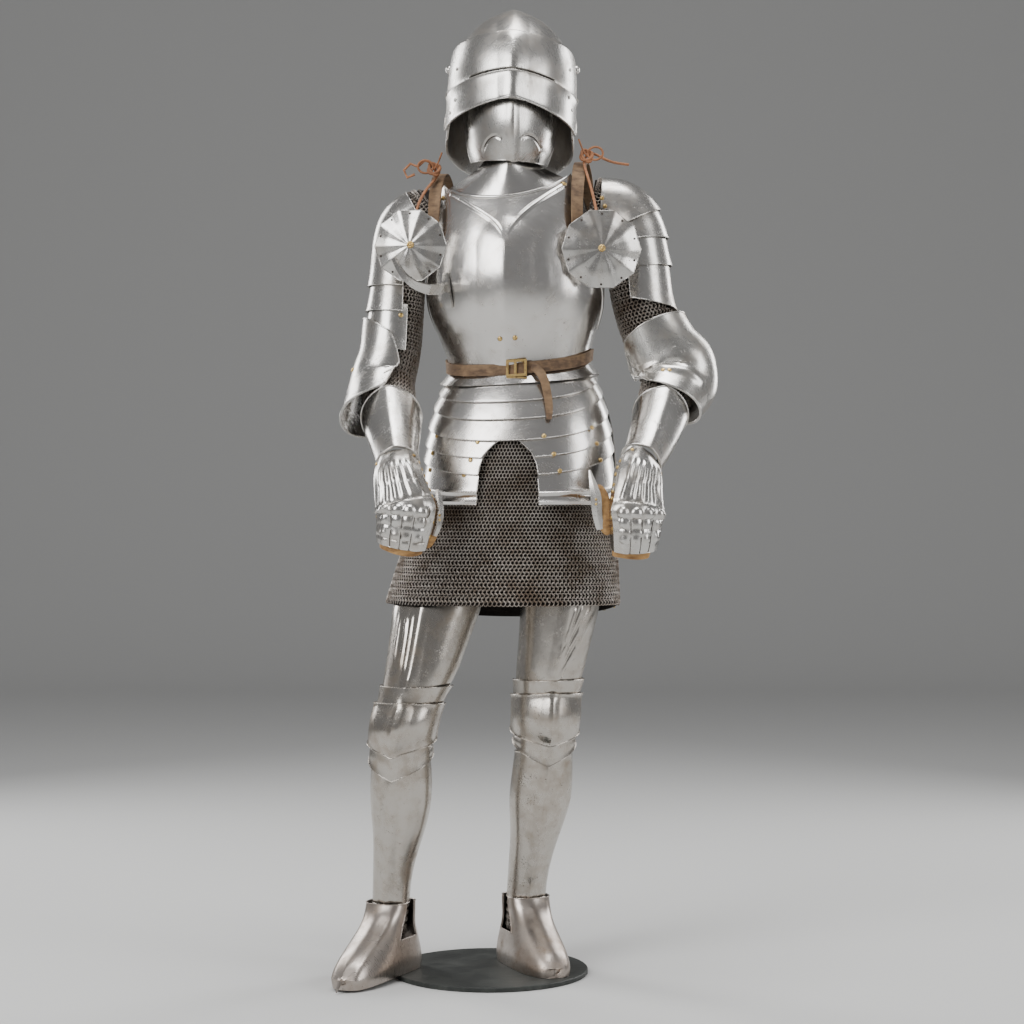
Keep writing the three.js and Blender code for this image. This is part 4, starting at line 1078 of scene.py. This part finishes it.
# ---------------------------------------------------------------- legs
LEG_CRESTS = {
    "cuisse_right": ([(-0.1235, 0.6882), (-0.1374, 0.5997), (-0.148, 0.5383)], [
        [(-0.1653, 0.6758), (-0.1667, 0.6523), (-0.1719, 0.6159), (-0.1771, 0.5796)],
        [(-0.1517, 0.6765), (-0.1549, 0.6403), (-0.1601, 0.6041), (-0.1653, 0.568)],
        [(-0.14, 0.68), (-0.1445, 0.64), (-0.151, 0.6), (-0.158, 0.56)]]),
    "cuisse_left": ([(0.1475, 0.6874), (0.1293, 0.5971), (0.1202, 0.5507)], [
        [(0.2011, 0.685), (0.1816, 0.6509), (0.1573, 0.6053), (0.135, 0.5689), (0.122, 0.5432)],
        [(0.189, 0.6898), (0.1702, 0.6515), (0.1478, 0.6113), (0.1293, 0.5766)],
        [(0.1756, 0.6922), (0.1607, 0.6574), (0.1422, 0.619), (0.1256, 0.5841)],
        [(0.162, 0.69), (0.15, 0.655), (0.136, 0.615)]]),
    "greave_right": ([(-0.182, 0.3573), (-0.1889, 0.2568), (-0.1957, 0.1463)], []),
    "greave_left": ([(0.104, 0.3779), (0.0951, 0.2673), (0.0842, 0.1771)], []),
    "poleyn_right": ([(-0.1546, 0.5014), (-0.1651, 0.4695), (-0.1728, 0.4378), (-0.1788, 0.4167)],
                     []),
    "poleyn_left": ([(0.1127, 0.5199), (0.1108, 0.4963), (0.109, 0.4743), (0.1054, 0.4494)], []),
}
for name, (crest, flutes) in LEG_CRESTS.items():
    piece = MADE[name]
    skin = Surface(piece)
    raised(piece, [laid(skin, crest)], 0.018, 0.0035, 1, 1.0)
    if flutes:
        raised(piece, [laid(skin, curved(f)) for f in flutes], 0.0052, 0.0026, 1, 0.8, fade=0.15)
    smooth(piece, 45)
    edge = rolled(f"{name}_edge", piece, lambda p: True, 0.0011)
    fitted(edge, "suit", "plate", LEG)
for side in ("right", "left"):
    for part in ("poleyn_upper_lame", "poleyn_lower_lame"):
        edge = rolled(f"{part}_edge_{side}", MADE[f"{part}_{side}"], lambda p: True, 0.0008)
        fitted(edge, "suit", "plate", LEG)
    edge = rolled(f"sabaton_edge_{side}", MADE[f"sabaton_{side}"], lambda p: p.z > 0.03, 0.001)
    fitted(edge, "suit", "dark_plate", FOOT)

# ---------------------------------------------------------------- straps, belt and laces
for name, finish, slot in (("belt", STRAP, "strap_leather"),
                           ("shoulder_strap_right", STRAP, "strap_leather"),
                           ("shoulder_strap_left", STRAP, "strap_leather"),
                           ("shoulder_lace_right", LACE, "lace_leather"),
                           ("shoulder_lace_left", LACE, "lace_leather")):
    piece = rounded(f"{name}_dressed", name, 1 if "lace" not in name else 2, 50)
    smooth(piece, 40)
    fitted(piece, "suit", slot, finish, name)
BOWS = {"right": ((-0.104, -0.02, 1.498), 1), "left": ((0.179, -0.044, 1.519), -1)}
for side, (knot, way) in BOWS.items():
    knot = Vector(knot)
    turns = []
    for wide, high, lean in ((0.011, 0.009, 0.2), (0.009, 0.011, -0.5)):
        turns.append([knot + Vector((math.cos(a) * wide, math.sin(a) * 0.006,
                                     math.sin(a) * high + math.cos(a) * lean * wide))
                      for a in [math.tau * k / 16 for k in range(16)]])
    coils = [bead(f"knot_{side}_{i}", t, 0.003, loop=True) for i, t in enumerate(turns)]
    loop = [knot + Vector((way * (0.002 + 0.028 * (1 - math.cos(a)) / 2) * -1,
                           -0.006 * math.sin(a / 2), 0.004 + 0.012 * math.sin(a)))
            for a in [math.tau * k / 20 for k in range(21)]]
    coils.append(bead(f"bow_{side}", loop, 0.0021))
    tail = [knot, knot + Vector((way * 0.008, -0.006, 0.012)), knot + Vector((way * 0.015, -0.008,
            0.03))]
    coils.append(bead(f"tail_{side}", tail, 0.0017))
    fitted(joined(f"lace_bow_{side}", coils), "suit", "lace_leather", LACE)

# ---------------------------------------------------------------- mail at the heels
ANKLES = {"right": [(-0.195, 0.0, 0.155), (-0.2, 0.0, 0.052)],
          "left": [(0.085, 0.0, 0.155), (0.085, 0.0, 0.052)]}
for side in ANKLES:
    node = f"ankle_mail_{side}"
    low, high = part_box(node)
    middle = (Vector(low) + Vector(high)) / 2
    heel = rounded(f"{node}_dressed", node, 1, 60)
    smooth(heel, 60)
    line = limb_line([(middle.x, middle.y, high[2] - 0.003), (middle.x, middle.y, low[2])],
                     PITCH * 0.88)
    rows = round_rows(Surface(heel), line, 40, reach=0.12)
    fitted(heel, "suit", "mail", UNDER, node)
    ankle_rings = woven_rings(f"ankle_rings_{side}", [p for r in rows for p in
                              seen(r, Surface(MADE[f"sabaton_{side}"], MADE[f"greave_{side}"]),
                                   0.02)], MAIL)


# ---------------------------------------------------------------- what stays as its solid
for name, finish in (("base_disc", IRON), ("belt_buckle", BRASS)):
    NODES[name].data.materials.clear()
    NODES[name].data.materials.append(finish)

# ---------------------------------------------------------------- room and light
bpy.ops.mesh.primitive_plane_add(size=14, location=(0, 2.0, 0))
floor = bpy.context.object
floor.name = "floor"
edit(floor, "EDGE")
pick(floor, "edges", lambda e: all(v.co.y > 8.9 - 2 for v in e.verts))
bpy.ops.mesh.extrude_region_move(TRANSFORM_OT_translate={"value": (0, 0, 9)})
shut(floor)
edit(floor, "EDGE")
pick(floor, "edges", lambda e: all(v.co.y > 6.9 and abs(v.co.z) < 0.01 for v in e.verts))
bpy.ops.mesh.bevel(offset=2.5, segments=12)
shut(floor)
smooth(floor, 60)
settle(floor)
b = Bench("pale_floor")
b.finish(Base_Color=(0.62, 0.62, 0.61), Roughness=0.85)
floor.data.materials.append(b.material)
floor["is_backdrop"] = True


def lamp(name, place, aim, size, power, high=None):
    """A soft panel of light, aimed at a point."""
    bpy.ops.object.light_add(type="AREA", location=place)
    made = bpy.context.object
    made.name = name
    made.data.shape = "RECTANGLE"
    made.data.size, made.data.size_y = size, high or size
    made.data.energy = power
    made.rotation_euler = (Vector(aim) - Vector(place)).to_track_quat("-Z", "Y").to_euler()
    return made


lamp("key_panel", (-2.3, -2.5, 2.6), (0, 0, 1.1), 1.9, 120, 2.8)
lamp("fill_panel", (2.9, -1.7, 1.8), (0, 0, 1.0), 1.3, 45, 2.6)
lamp("top_panel", (0.2, -0.3, 3.6), (0, 0, 1.0), 1.6, 60, 1.2)
lamp("back_panel_right", (-1.9, 1.9, 2.0), (0, 0, 1.1), 0.9, 45, 2.2)
lamp("back_panel_left", (2.1, 1.8, 1.9), (0, 0, 1.1), 0.9, 45, 2.2)
world = bpy.data.worlds.new("studio")
bpy.context.scene.world = world
world.use_nodes = True
world.node_tree.nodes["Background"].inputs[0].default_value = (0.8, 0.8, 0.81, 1)
world.node_tree.nodes["Background"].inputs[1].default_value = 0.3

low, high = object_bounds()
